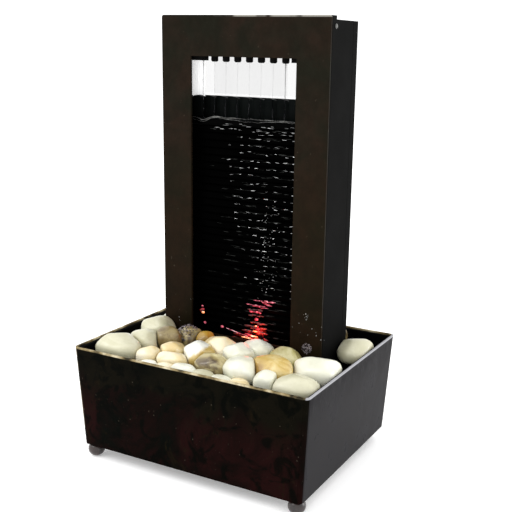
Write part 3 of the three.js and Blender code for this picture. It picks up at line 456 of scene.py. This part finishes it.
def add_ball(form, centre, half, rounds=2, turn=Matrix.Identity(4)):
    """An icosphere scaled to half sizes, at a place in millimetres."""
    scale = Matrix.Diagonal((*[h * MM for h in half], 1))
    place = Matrix.Translation(Vector(centre) * MM)
    bmesh.ops.create_icosphere(form, subdivisions=rounds, radius=1, matrix=place @ turn @ scale)


def tube_along(form, points, radii, sides=10):
    """A tube through points, in millimetres, with a radius at each; points run along Z or X."""
    rings = []
    for i, point in enumerate(points):
        before = points[max(i - 1, 0)]
        after = points[min(i + 1, len(points) - 1)]
        aim = (Vector(after) - Vector(before)).normalized()
        side = aim.cross(Vector((0, 1, 0))).normalized()
        other = aim.cross(side)
        ring = []
        for k in range(sides):
            angle = 2 * math.pi * k / sides
            offset = side * (math.cos(angle) * radii[i]) + other * (math.sin(angle) * radii[i])
            ring.append(form.verts.new((Vector(point) + offset) * MM))
        rings.append(ring)
    for low, high in zip(rings, rings[1:]):
        for k in range(sides):
            form.faces.new((low[k], low[(k + 1) % sides], high[(k + 1) % sides], high[k]))
    form.faces.new(rings[0])
    form.faces.new(list(reversed(rings[-1])))
    bmesh.ops.recalc_face_normals(form, faces=form.faces)


# ---------------------------------------------------------------- pebbles


KIND_OF = {"pebble_06_ochre": "amber"}  # the other stones' kinds are in their names
SPLIT_PEBBLE = "pebble_10_ochre"
PEBBLE_ROUNDING = 2                     # passes of smoothing, which round off the stones' flat cuts
PEBBLE_LUMPS = 0.03                     # height of the gentle lumps, as a share of the stone's radius
UNLIMITED = 2.0                         # half sizes this many times a node's box leave the CAD's whole stone
ROW_FILL = 1.12                         # half sizes of a row's stones, as a share of those listed


def surface_tree(node):
    return BVHTree.FromObject(NODES[node], bpy.context.evaluated_depsgraph_get())


def add_pebble(name, tree, centre, half, kind, seed, node=None, split_at=None):
    """A worn stone inside the CAD's surface, within half sizes of its centre, with gentle lumps."""
    form = bmesh.new()
    bmesh.ops.create_icosphere(form, subdivisions=4, radius=1)
    shift = Vector((seed * 1.7, seed * 0.9, -seed * 1.3))
    for vert in form.verts:
        direction = vert.co.normalized()
        limit = 1 / math.sqrt(sum((direction[i] / half[i]) ** 2 for i in range(3)))
        hit = tree.ray_cast(centre, direction)
        radius = min(limit, (hit[0] - centre).length) if hit[0] else limit
        lump = 0.6 * noise.noise(direction * 1.8 + shift) + 0.4 * noise.noise(direction * 4.0 - shift)
        vert.co = centre + direction * radius * (1 + PEBBLE_LUMPS * (lump - 0.1))
    for _ in range(PEBBLE_ROUNDING):
        bmesh.ops.smooth_vert(form, verts=form.verts, factor=0.5,
                              use_axis_x=True, use_axis_y=True, use_axis_z=True)
    material = stone_material(kind, seed, split_at)
    made = from_bmesh(name, form, material, "deck")
    if node:
        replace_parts(made, node)


def add_numbered_pebbles():
    numbered = sorted(name for name in NODES if name.startswith("pebble_") and name != "pebble_deck")
    for seed, node in enumerate(numbered, 1):
        low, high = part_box(node)
        centre = (low + high) / 2
        kind = KIND_OF.get(node, node.split("_")[2])
        split_at = centre / MM if node == SPLIT_PEBBLE else None
        tree = surface_tree(node)
        add_pebble(f"stone_{node}", tree, centre, (high - low) * UNLIMITED, kind, seed, node, split_at)


def add_pebble_row(side, row, kinds, first_seed):
    """Separate stones for a row that is one node in the CAD. The first of them replaces the node."""
    node = f"pebbles_{side}_row"
    tree = surface_tree(node)
    for i, (x, y, *half) in enumerate(row):
        centre = Vector((x, y, DECK_TOP + half[2])) * MM
        room = Vector(half) * MM * ROW_FILL
        kind = kinds[i % len(kinds)]
        add_pebble(f"{side}_pebble_{i + 1}", tree, centre, room, kind, first_seed + i, None if i else node)


# ---------------------------------------------------------------- water

THREAD_SEED = 100
CREST_OVERRUN = 8                       # the crest runs on this far beyond the window's sides
GLINT_RIBS = 24                         # ribs, counted from the panel's top
FAINT_RIBS = 29
GLOW_PROUD = {"pink": 3.6, "red": 3.6, "deep": 3.0}  # how far each layer of lamp light is before the panel
HOT_PROUD = 5.2
SPARK_PROUD = 3.4


def stream_x(i):
    return (i - (STREAMS - 1) / 2) * STREAM_PITCH


def thread(form, x, top, foot, wide, seed):
    """One falling thread of water, with a neck where it leaves the nozzle and small swellings."""
    rng = random.Random(seed)
    phase = rng.uniform(0, 6)
    points = []
    radii = []
    steps = 20
    for k in range(steps + 1):
        z = top + (foot - top) * k / steps
        fallen = (NOZZLE_TIP - z) / (NOZZLE_TIP - LIP_TOP)
        sway = 0.25 * math.sin(fallen * 5 + seed * 2.1) * fallen
        points.append((x + sway, STREAM_Y - 0.6 * fallen, z))
        radii.append(wide * (1 + 0.9 * (1 - fallen) ** 6 + 0.12 * math.sin(fallen * 21 + phase)))
    tube_along(form, points, radii)


def add_streams():
    """Threads of water, in painted light and shade: pale grey where they show against the light above the
    splash wall, painted darker in front of it.
    """
    outer = Paint("thread_outer", grey(0.2), 0.1, Specular_IOR_Level=0.1, Alpha=0.42)
    outer.color(outer.ramp(outer.noise(0.2, 2), (0.35, grey(0.10)), (0.65, grey(0.24))))
    inner = Paint("thread_inner", grey(0.3), 0.1, Specular_IOR_Level=0.1, Alpha=0.07)
    inner.color(inner.ramp(inner.noise(0.2, 2), (0.35, grey(0.24)), (0.65, grey(0.40))))
    # a darker copy of the thread paint for the part in front of the splash wall: painted shade
    shaded_copy = Paint("thread_shaded_copy", grey(0.02), 0.1, Specular_IOR_Level=0.05, Alpha=0.5)
    shaded_copy.color(shaded_copy.ramp(shaded_copy.noise(0.15, 2), (0.44, (0.003, 0.003, 0.004)), (0.68, (0.030, 0.030, 0.033))))
    for i in range(STREAMS):
        upper = outer if i in (0, STREAMS - 2) else inner
        parts = (("upper", upper, NOZZLE_TIP + 0.6, FLUTE_TOP), ("lower", shaded_copy, FLUTE_TOP, LIP_TOP - 1))
        for part, paint, top, foot in parts:
            form = bmesh.new()
            thread(form, stream_x(i), top, foot, STREAM_RADIUS, THREAD_SEED + i)
            from_bmesh(f"water_thread_{i + 1}_{part}", form, paint.material, "tower")


def add_shade_sheet(name, left, right, y, opacity):
    """A flat grey sheet of painted shade, from just below the splash wall's top to behind the nozzles,
    streaked downwards.
    """
    shade_sheet = Paint(name, grey(0.05), 0.6, Specular_IOR_Level=0.0, Alpha=opacity)
    streaks = shade_sheet.noise(0.12, 3, stretch=(1, 1, 0.02), shift=8)
    shade_sheet.color(shade_sheet.ramp(streaks, (0.35, grey(0.03)), (0.65, grey(0.08))))
    form = bmesh.new()
    steps = 24
    columns = [[form.verts.new(Vector((left + (right - left) * k / steps, y, z)) * MM)
                for z in (FLUTE_TOP - 1.5, NOZZLE_TIP + 4)] for k in range(steps + 1)]
    for one, other in zip(columns, columns[1:]):
        form.faces.new((one[0], other[0], other[1], one[1]))
    from_bmesh(name, form, shade_sheet.material, "tower")


def add_window_shade():
    """Painted shade for the dimmer backdrop seen through the window, behind the threads: a wide grey sheet,
    and a narrower one in front of it.
    """
    add_shade_sheet("window_shade_wide", -OPENING_X - SHADE_SHEET_MARGIN, stream_x(STREAMS - 1) - SHADE_SHEET_MARGIN,
                    SHADE_SHEET_Y + SHADE_SHEET_GAP, 0.30)
    add_shade_sheet("window_shade_narrow", stream_x(1) + SHADE_SHEET_LEAN - 1.5, stream_x(STREAMS - 2) + SHADE_SHEET_LEAN + 1.5,
                    SHADE_SHEET_Y, 0.10)


def lip_height(x):
    """Height of the water's crest on the weir: it dips near the left end, then runs almost level."""
    dip = 2.2 * math.exp(-((x + 32.5) / 5) ** 2)
    rise = 0.8 * math.exp(-((x + 25) / 5) ** 2)
    return LIP_TOP + 0.9 - dip + rise + 0.12 * math.sin(x * 0.55)


def add_weir_water():
    """Two thin wavy lines of light, along the crest of the water on the weir and just below it."""
    crest = Paint("crest_water", grey(0.12), 0.12, Specular_IOR_Level=0.2, Alpha=0.75)
    tone = crest.noise(0.12, 3, shift=3)
    crest.color(crest.ramp(tone, (0.38, grey(0.02)), (0.62, (0.22, 0.22, 0.21))))
    form = bmesh.new()
    count = 120
    for offset, radius, phase in ((0.0, 0.19, 0.0), (-1.2, 0.15, 1.3)):
        points = []
        radii = []
        for k in range(count + 1):
            x = (2 * k / count - 1) * (OPENING_X + CREST_OVERRUN)
            spread = 1 + 0.5 * math.sin(x * 0.13 + phase)
            points.append((x, PANEL_FRONT - 0.5, lip_height(x) + offset * spread))
            radii.append(radius * (1 + 0.35 * math.sin(x * 0.5 + phase)))
        tube_along(form, points, radii, 8)
    from_bmesh("weir_crest", form, crest.material, "tower")


GLINT_COLUMNS = [
    # x at the top, x at the foot, top z, foot z, chance of a glint on a rib
    (-12, -12, 208, 178, 0.95), (-5, -4, 214, 160, 0.8), (2, 4, 213, 128, 0.8), (8, 8, 214, 116, 0.85),
    (15, 14, 212, 140, 0.75), (21, 21, 212, 112, 0.85), (27, 30, 214, 120, 0.8), (33, 34, 214, 104, 0.85),
    (-9, -6, 174, 150, 0.8), (10, 17, 160, 108, 0.6), (-3, 0, 152, 110, 0.5),
]


def rib_height(rib):
    """Height at which a rib of the panel catches the light."""
    return PANEL_TOP - (rib + 0.35) * RIB_PITCH


def add_glints():
    """Bright glints in columns where water runs over the ribs, dashes under the lip, and fine drops."""
    rng = random.Random(12)
    form = bmesh.new()
    for rib in range(GLINT_RIBS):
        z = rib_height(rib)
        for top_x, foot_x, top_z, foot_z, chance in GLINT_COLUMNS:
            if not foot_z <= z <= top_z or rng.random() > chance:
                continue
            share = (top_z - z) / (top_z - foot_z)
            x = top_x + (foot_x - top_x) * share + rng.gauss(0, 0.8)
            half = rng.uniform(0.5, 2.1) * (1.1 - 0.4 * share)
            thick = rng.uniform(0.08, 0.24)
            turn = Matrix.Rotation(rng.gauss(0, 0.10), 4, "Y")
            place = (x, PANEL_FRONT - 0.1, z + rng.gauss(0, 0.4))
            add_ball(form, place, (half, 0.4, thick), turn=turn)
    for _ in range(26):
        x = rng.uniform(-24, 34)
        z = LIP_TOP - rng.uniform(2.5, 9)
        add_ball(form, (x, PANEL_FRONT - 0.3, z), (rng.uniform(0.8, 2.8), 0.3, rng.uniform(0.06, 0.14)))
    for _ in range(60):
        z = rng.uniform(104, 168)
        x = rng.gauss(18 - (168 - z) * 0.05, 3.4)
        size = rng.uniform(0.12, 0.30)
        add_ball(form, (x, PANEL_FRONT - 0.6, z), (size * 1.3, size, size), 1)
    from_bmesh("rib_glints", form, glint_material(), "tower")
    add_faint_glints(rng)


def add_faint_glints(rng):
    """Dim ticks of wet light that follow the ribs, fewest on the left."""
    form = bmesh.new()
    for rib in range(FAINT_RIBS):
        z = rib_height(rib)
        for _ in range(9):
            x = rng.triangular(-30, 36, 26)
            half = rng.uniform(1.0, 4.5)
            place = (x, PANEL_FRONT + 0.1, z + rng.gauss(0, 0.5))
            add_ball(form, place, (half, 0.3, rng.uniform(0.08, 0.2)))
    from_bmesh("faint_glints", form, faint_glint_material(), "tower")


GLOW_STREAKS = [
    # layer, height, middle x, spread, how many, half length, half thickness
    ("pink", 104.2, 15.0, 7.5, 8, 2.4, 0.26), ("pink", 100.6, 12.5, 8.0, 6, 2.4, 0.24),
    ("red", 103.4, 14.0, 6.0, 4, 2.4, 0.22), ("red", 99.8, 11.5, 4.0, 3, 1.8, 0.30),
    ("red", 95.8, 9.5, 3.4, 4, 1.5, 0.60), ("pink", 95.7, 11.5, 1.0, 2, 1.0, 0.35),
    ("red", 91.2, 11.0, 1.2, 3, 1.4, 0.60), ("pink", 91.0, 11.2, 0.3, 1, 0.9, 0.45),
    ("red", 86.6, 10.9, 0.8, 2, 1.2, 0.45),
    ("deep", 97.5, 10.0, 5.0, 6, 2.4, 0.35), ("deep", 93.0, 10.0, 4.5, 6, 2.4, 0.40),
    ("deep", 88.5, 10.5, 6.0, 9, 2.6, 0.45), ("deep", 85.0, 10.0, 8.0, 12, 3.2, 0.50),
    ("deep", 81.5, 8.5, 9.5, 16, 3.6, 0.55), ("deep", 78.0, 7.0, 12.0, 18, 4.0, 0.60),
    ("deep", 75.0, 6.0, 13.0, 16, 4.0, 0.60),
    ("red", 84.4, 10.5, 2.6, 4, 2.0, 0.30), ("red", 79.6, 9.0, 5.0, 5, 2.8, 0.35),
    ("red", 77.0, 7.0, 7.0, 6, 3.4, 0.40), ("red", 74.8, 4.0, 8.0, 6, 3.6, 0.40),
]
HOT_SPOTS = [
    # x, height, half length
    (10.6, 83.2, 1.9), (9.8, 79.6, 3.2), (4.0, 77.8, 4.2), (11.0, 87.0, 0.8),
]
STRAY_SPARKS = [
    # layer, x, height, half length
    ("pink", -31.8, 93.6, 0.8), ("red", -31.4, 91.4, 1.2), ("hot", -31.2, 89.2, 1.3),
    ("deep", -32.2, 90.4, 1.9), ("pink", -29.6, 82.2, 1.1), ("pink", -16.0, 81.6, 1.3),
]


def add_lamp_glow():
    """Lamp light in the falling water: pink dashes at the top, red below, and a hot orange foot."""
    rng = random.Random(31)
    layers = {
        "pink": glowing("lamp_pink_water", (0.45, 0.07, 0.11), (0.95, 0.60, 0.64), 0.85),
        "red": glowing("lamp_red_water", (0.30, 0.004, 0.018), (0.85, 0.12, 0.18), 0.85),
        "deep": glowing("lamp_deep_water", (0.055, 0.001, 0.001), (0.26, 0.015, 0.010), 0.6),
        "hot": glowing("lamp_hot_water", (0.90, 0.28, 0.10), (1.0, 0.82, 0.62), 1.3),
    }
    forms = {layer: bmesh.new() for layer in layers}
    for layer, z, middle, spread, count, half, thick in GLOW_STREAKS:
        y = PANEL_FRONT - GLOW_PROUD[layer]
        for _ in range(count):
            size = (half * rng.uniform(0.6, 1.2), 0.35, thick * rng.uniform(0.7, 1.3))
            place = (middle + rng.uniform(-spread, spread), y, z + rng.gauss(0, 0.4))
            add_ball(forms[layer], place, size)
    for x, z, half in HOT_SPOTS:
        add_ball(forms["hot"], (x, PANEL_FRONT - HOT_PROUD, z), (half, 0.4, 0.5))
    for layer, x, z, half in STRAY_SPARKS:
        add_ball(forms[layer], (x, PANEL_FRONT - SPARK_PROUD, z), (half, 0.5, half * 0.7))
    slanted = [(-13, PANEL_FRONT - 3, 81.0), (-4, PANEL_FRONT - 3.2, 79.4), (5, PANEL_FRONT - 3.4, 77.8)]
    tube_along(forms["pink"], slanted, [0.14, 0.2, 0.14], 8)
    for layer, form in forms.items():
        from_bmesh(f"lamp_glow_{layer}", form, layers[layer], "tower")


def add_lens():
    """The lamp's lens, a ball cut flat below its middle, and the red light it sheds."""
    form = bmesh.new()
    bmesh.ops.create_uvsphere(form, u_segments=32, v_segments=20, radius=1)
    low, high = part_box("lamp_lens")
    middle = (low + high) / 2
    for vert in form.verts:
        rise = (max(vert.co.z, -LENS_CUT) + LENS_CUT) / (1 + LENS_CUT)
        vert.co = Vector((middle.x + vert.co.x * (high.x - low.x) / 2,
                          middle.y + vert.co.y * (high.y - low.y) / 2,
                          low.z + rise * (high.z - low.z)))
    red = glowing("lens_red", (0.16, 0.004, 0.002), (0.5, 0.05, 0.03), 0.5)
    lens = from_bmesh("lamp_dome", form, red, "tower")
    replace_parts(lens, "lamp_lens")
    light = bpy.data.lights.new("lamp_light", "POINT")
    light.color = (1, 0.06, 0.03)
    light.energy = LENS_LIGHT_POWER
    light.shadow_soft_size = LENS_LIGHT_RADIUS
    lamp = bpy.data.objects.new("lamp_light", light)
    lamp.location = Vector((LAMP_X, LAMP_Y - 9, LENS_BASE + 3)) * MM
    bpy.context.scene.collection.objects.link(lamp)
    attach(lamp, "tower")


def add_froth(name, places, body, small, large, seed):
    """A cluster of tiny bubbles at places in millimetres."""
    rng = random.Random(seed)
    bubble = Paint(f"{name}_bubbles", (0.34, 0.33, 0.31), 0.08, Specular_IOR_Level=0.6,
                   Transmission_Weight=0.5, IOR=1.2)
    bubble.color(bubble.ramp(bubble.noise(0.8, 3), (0.40, (0.09, 0.07, 0.075)), (0.58, (0.56, 0.50, 0.52))))
    form = bmesh.new()
    for place in places:
        size = rng.uniform(small, large)
        add_ball(form, place, (size, size, size * 0.8))
    from_bmesh(name, form, bubble.material, body)


STILE_SPLASHES = [
    # middle x, height, spread, how many drops
    (49, 101, 1.6, 9), (52, 88, 4.5, 9), (-48, 92, 6, 6), (38.5, 92, 0.5, 2),
]
STILE_FROTH = (50, 79.5, 3.4)           # middle x, height and radius of the froth on the right stile


def add_splashes():
    """Drops on the front frame's stiles, and froth on the right stile and on one pebble."""
    rng = random.Random(77)
    form = bmesh.new()
    for middle, height, spread, count in STILE_SPLASHES:
        for _ in range(count):
            size = rng.uniform(0.14, 0.36)
            place = (middle + rng.gauss(0, spread), -0.1, height + rng.gauss(0, spread))
            add_ball(form, place, (size, size * 0.5, size * rng.uniform(0.7, 1.2)), 1)
    # the drops wear the glint paint: painted highlights
    from_bmesh("stile_drops", form, glint_material(), "tower")

    middle, height, radius = STILE_FROTH
    places = []
    for _ in range(170):
        angle = rng.uniform(0, 2 * math.pi)
        far = radius * math.sqrt(rng.random())
        proud = 0.3 + 0.5 * rng.random()
        places.append((middle + far * math.cos(angle), -proud, height + far * math.sin(angle)))
    add_froth("froth_on_stile", places, "tower", 0.16, 0.36, 3)
    low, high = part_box("pebble_05_brown")
    middle = (low + high) / 2 / MM
    half = (high - low) / 2 / MM
    places = []
    for _ in range(260):
        heading = Vector((rng.gauss(0, 1), rng.gauss(-0.6, 1), abs(rng.gauss(0.3, 1)))).normalized()
        places.append(middle + Vector([heading[k] * half[k] * 1.03 for k in range(3)]))
    add_froth("froth_on_pebble", places, "deck", 0.25, 0.6, 4)


def add_pool():
    """The pump water under the pebble deck, seen through the deck's slots."""
    form = bmesh.new()
    corners = [form.verts.new(Vector((x * POOL_HALF[0], y * POOL_HALF[1], POOL_TOP)) * MM)
               for x, y in ((-1, -1), (1, -1), (1, 1), (-1, 1))]
    form.faces.new(corners)
    bmesh.ops.subdivide_edges(form, edges=form.edges, cuts=24, use_grid_fill=True)
    for vert in form.verts:
        vert.co.z += 0.35 * MM * noise.noise(vert.co * 90)
    from_bmesh("pool_surface", form, pool_water(), "basin")


# ---------------------------------------------------------------- casing details


def add_feet():
    """Turned ball feet, flat where they meet the floor and the basin."""
    sides = 32
    steps = 24
    dark = Paint("foot_brown", (0.010, 0.0045, 0.003), 0.3, Specular_IOR_Level=0.5, Coat_Weight=0.3)
    grain = dark.noise(0.35, 4, stretch=(1, 1, 0.2), distort=1.0)
    dark.color(dark.ramp(grain, (0.35, (0.004, 0.002, 0.0015)), (0.65, (0.018, 0.006, 0.004))))
    for node in ("foot_front_left", "foot_back_left", "foot_front_right", "foot_back_right"):
        low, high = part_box(node)
        middle = (low + high) / 2
        radius = (high.x - low.x) / 2
        form = bmesh.new()
        profile = []
        for k in range(steps + 1):
            angle = -math.pi / 2 + math.pi * k / steps
            z = min(max(BALL_MIDDLE_Z + BALL_RADIUS * math.sin(angle), 0.0), BALL_TOP)
            profile.append((radius * math.cos(angle), z * MM))
        turns = [2 * math.pi * i / sides for i in range(sides)]
        rings = [[form.verts.new((middle.x + r * math.cos(t), middle.y + r * math.sin(t), z)) for t in turns]
                 for r, z in profile[1:-1]]
        for lower, upper in zip(rings, rings[1:]):
            for i in range(sides):
                form.faces.new((lower[i], lower[(i + 1) % sides], upper[(i + 1) % sides], upper[i]))
        form.faces.new(list(reversed(rings[0])))
        form.faces.new(rings[-1])
        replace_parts(from_bmesh(f"ball_{node}", form, dark.material, "basin"), node)


def front_wall_point(z, inward, proud):
    """A point just outside the basin's front wall, inward of its right corner."""
    inset = 1 - (z - FOOT_HEIGHT) / (BASIN_RIM_Z - FOOT_HEIGHT)
    corner_x = BASIN_HALF[0] - BASIN_TAPER[0] * inset
    corner_y = BASIN_HALF[1] - BASIN_TAPER[1] * inset
    return Vector((corner_x - inward, -corner_y - proud, z)) * MM


def add_corner_seam():
    """The folded edge of the front sheet: a narrow vertical strip at the front wall's right end."""
    form = bmesh.new()
    rows = []
    outline = ((8.6, 0.02), (8.3, 0.35), (3.2, 0.35), (2.9, 0.02))  # inward of the corner, and proud
    for z in (FOOT_HEIGHT + 0.3, 30, 52, BASIN_RIM_Z - 0.2):
        rows.append([form.verts.new(front_wall_point(z, inward, proud)) for inward, proud in outline])
    for lower, upper in zip(rows, rows[1:]):
        for k in range(len(outline) - 1):
            form.faces.new((lower[k], lower[k + 1], upper[k + 1], upper[k]))
    bronze = NODES["basin_shell"].data.materials[0]
    from_bmesh("corner_seam", form, bronze, "basin", smooth=False)


def add_cover_gasket():
    """A strip of black foam on each side, inside the seam between the tower's shell and its rear cover."""
    form = bmesh.new()
    thick, wide = GASKET_SIZE
    middle_z = (TOWER_FOOT + SHELL_TOP) / 2
    for side in (-1, 1):
        made = bmesh.ops.create_cube(form, size=1.0)
        for vert in made["verts"]:
            vert.co = Vector((side * (SHELL_INSIDE - GASKET_INSET + thick * vert.co.x),
                              COVER_SEAM_Y + wide * vert.co.y,
                              middle_z + (SHELL_TOP - TOWER_FOOT) * vert.co.z)) * MM
    bmesh.ops.recalc_face_normals(form, faces=form.faces)
    foam = plain_plastic("gasket_foam", (0.0040, 0.0040, 0.0039), 0.9, 0.02)
    from_bmesh("cover_gasket", form, foam, "tower", smooth=False)


# ---------------------------------------------------------------- CAD nodes that stay


def paint_nodes():
    """Give every CAD node its material. Those that other pieces replace don't show."""
    matte = plain_plastic("shell_black", (0.0040, 0.0040, 0.0039), 0.75, 0.02)
    liner = plain_plastic("liner_black", grey(0.0020), 0.6, 0.03)
    gloss = plain_plastic("panel_gloss", grey(0.0002), 0.35, 0.003, 0.5, 0.08)
    flute = flute_gloss()
    rubber = plain_plastic("rubber_black", grey(0.012), 0.8, 0.2)
    ceramic = plain_plastic("ceramic_white", (0.80, 0.79, 0.74), 0.3, 0.5)
    ferrite = plain_plastic("ferrite_grey", (0.04, 0.04, 0.043), 0.5, 0.4)
    steel = Paint("screw_steel", (0.13, 0.13, 0.125), 0.35, Metallic=1.0)
    steel.bump(steel.noise(3.0, 2, stretch=(1, 8, 1)), 0.02, 0.4)
    # the riser tube glows white, though it is no lamp: painted light, so that it shows as bright as the
    # backdrop behind the window
    glowing_vinyl = Paint("riser_painted_glow", grey(0.95), 0.3, Specular_IOR_Level=0.3, Emission_Strength=0.5)
    glowing_vinyl.shader.inputs["Emission Color"].default_value = (1, 1, 1, 1)
    glowing_vinyl.bump(glowing_vinyl.noise(0.4, 2, stretch=(1, 1, 0.1)), 0.05, 0.3)
    chosen = {
        "basin_shell": basin_bronze(), "front_frame": frame_bronze(),
        "basin_liner": liner, "pebble_deck": liner, "cascade_panel": gloss, "catch_weir": flute,
        "riser_tube": glowing_vinyl.material, "cable_grommet": rubber, "flow_slider": rubber,
        "impeller": ceramic, "rotor_shaft": ceramic, "rotor_magnet": ferrite,
    }
    for name, node in NODES.items():
        if name.startswith("suction_cup"):
            material = rubber
        elif "screw" in name:
            material = steel.material
        else:
            material = chosen.get(name, matte)
        node.data.materials.clear()
        node.data.materials.append(material)


# ---------------------------------------------------------------- studio

WORLD_STRENGTH = 1.35
FLOOR_GLOW = 0.25
FLOOR_HALF = 4                          # metres, and so are the places and sizes of the lamps
SOFT_LAMPS = [
    # name, place, what it points at, size, power
    ("key", (-0.9, -1.1, 1.5), (0, 0, 0.12), 1.0, 12),
    ("rim", (1.6, 1.1, 0.55), (0.06, 0, 0.05), 0.9, 10),
]

def add_studio():
    """A white world, a pale floor that glows a little, and two soft lamps."""
    scene = bpy.context.scene
    scene.view_settings.view_transform = "Standard"
    world = bpy.data.worlds.new("studio")
    world.use_nodes = True
    background = world.node_tree.nodes["Background"]
    background.inputs["Color"].default_value = (1, 1, 1, 1)
    background.inputs["Strength"].default_value = WORLD_STRENGTH
    scene.world = world

    form = bmesh.new()
    bmesh.ops.create_grid(form, x_segments=1, y_segments=1, size=FLOOR_HALF)
    mesh = bpy.data.meshes.new("floor")
    form.to_mesh(mesh)
    form.free()
    paint = Paint("floor_white", grey(0.95), 0.9, Specular_IOR_Level=0.0)
    paint.color(paint.ramp(paint.noise(0.002, 2), (0.3, grey(0.945)), (0.7, grey(0.955))))
    paint.shader.inputs["Emission Color"].default_value = (1, 1, 1, 1)
    paint.shader.inputs["Emission Strength"].default_value = FLOOR_GLOW
    mesh.materials.append(paint.material)
    floor = link_mesh("floor", mesh)

    for name, place, aim, size, power in SOFT_LAMPS:
        data = bpy.data.lights.new(name, "AREA")
        data.size = size
        data.energy = power
        lamp = bpy.data.objects.new(name, data)
        lamp.location = place
        lamp.rotation_euler = (Vector(aim) - Vector(place)).to_track_quat("-Z", "Y").to_euler()
        scene.collection.objects.link(lamp)


# ---------------------------------------------------------------- build

add_camera()
add_studio()
paint_nodes()
add_numbered_pebbles()
add_pebble_row("back", BACK_ROW, BACK_KINDS, BACK_SEED)
add_pebble_row("front", FRONT_ROW, FRONT_KINDS, FRONT_SEED)
add_streams()
add_window_shade()
add_weir_water()
add_glints()
add_lens()
add_lamp_glow()
add_splashes()
add_pool()
add_feet()
add_corner_seam()
add_cover_gasket()
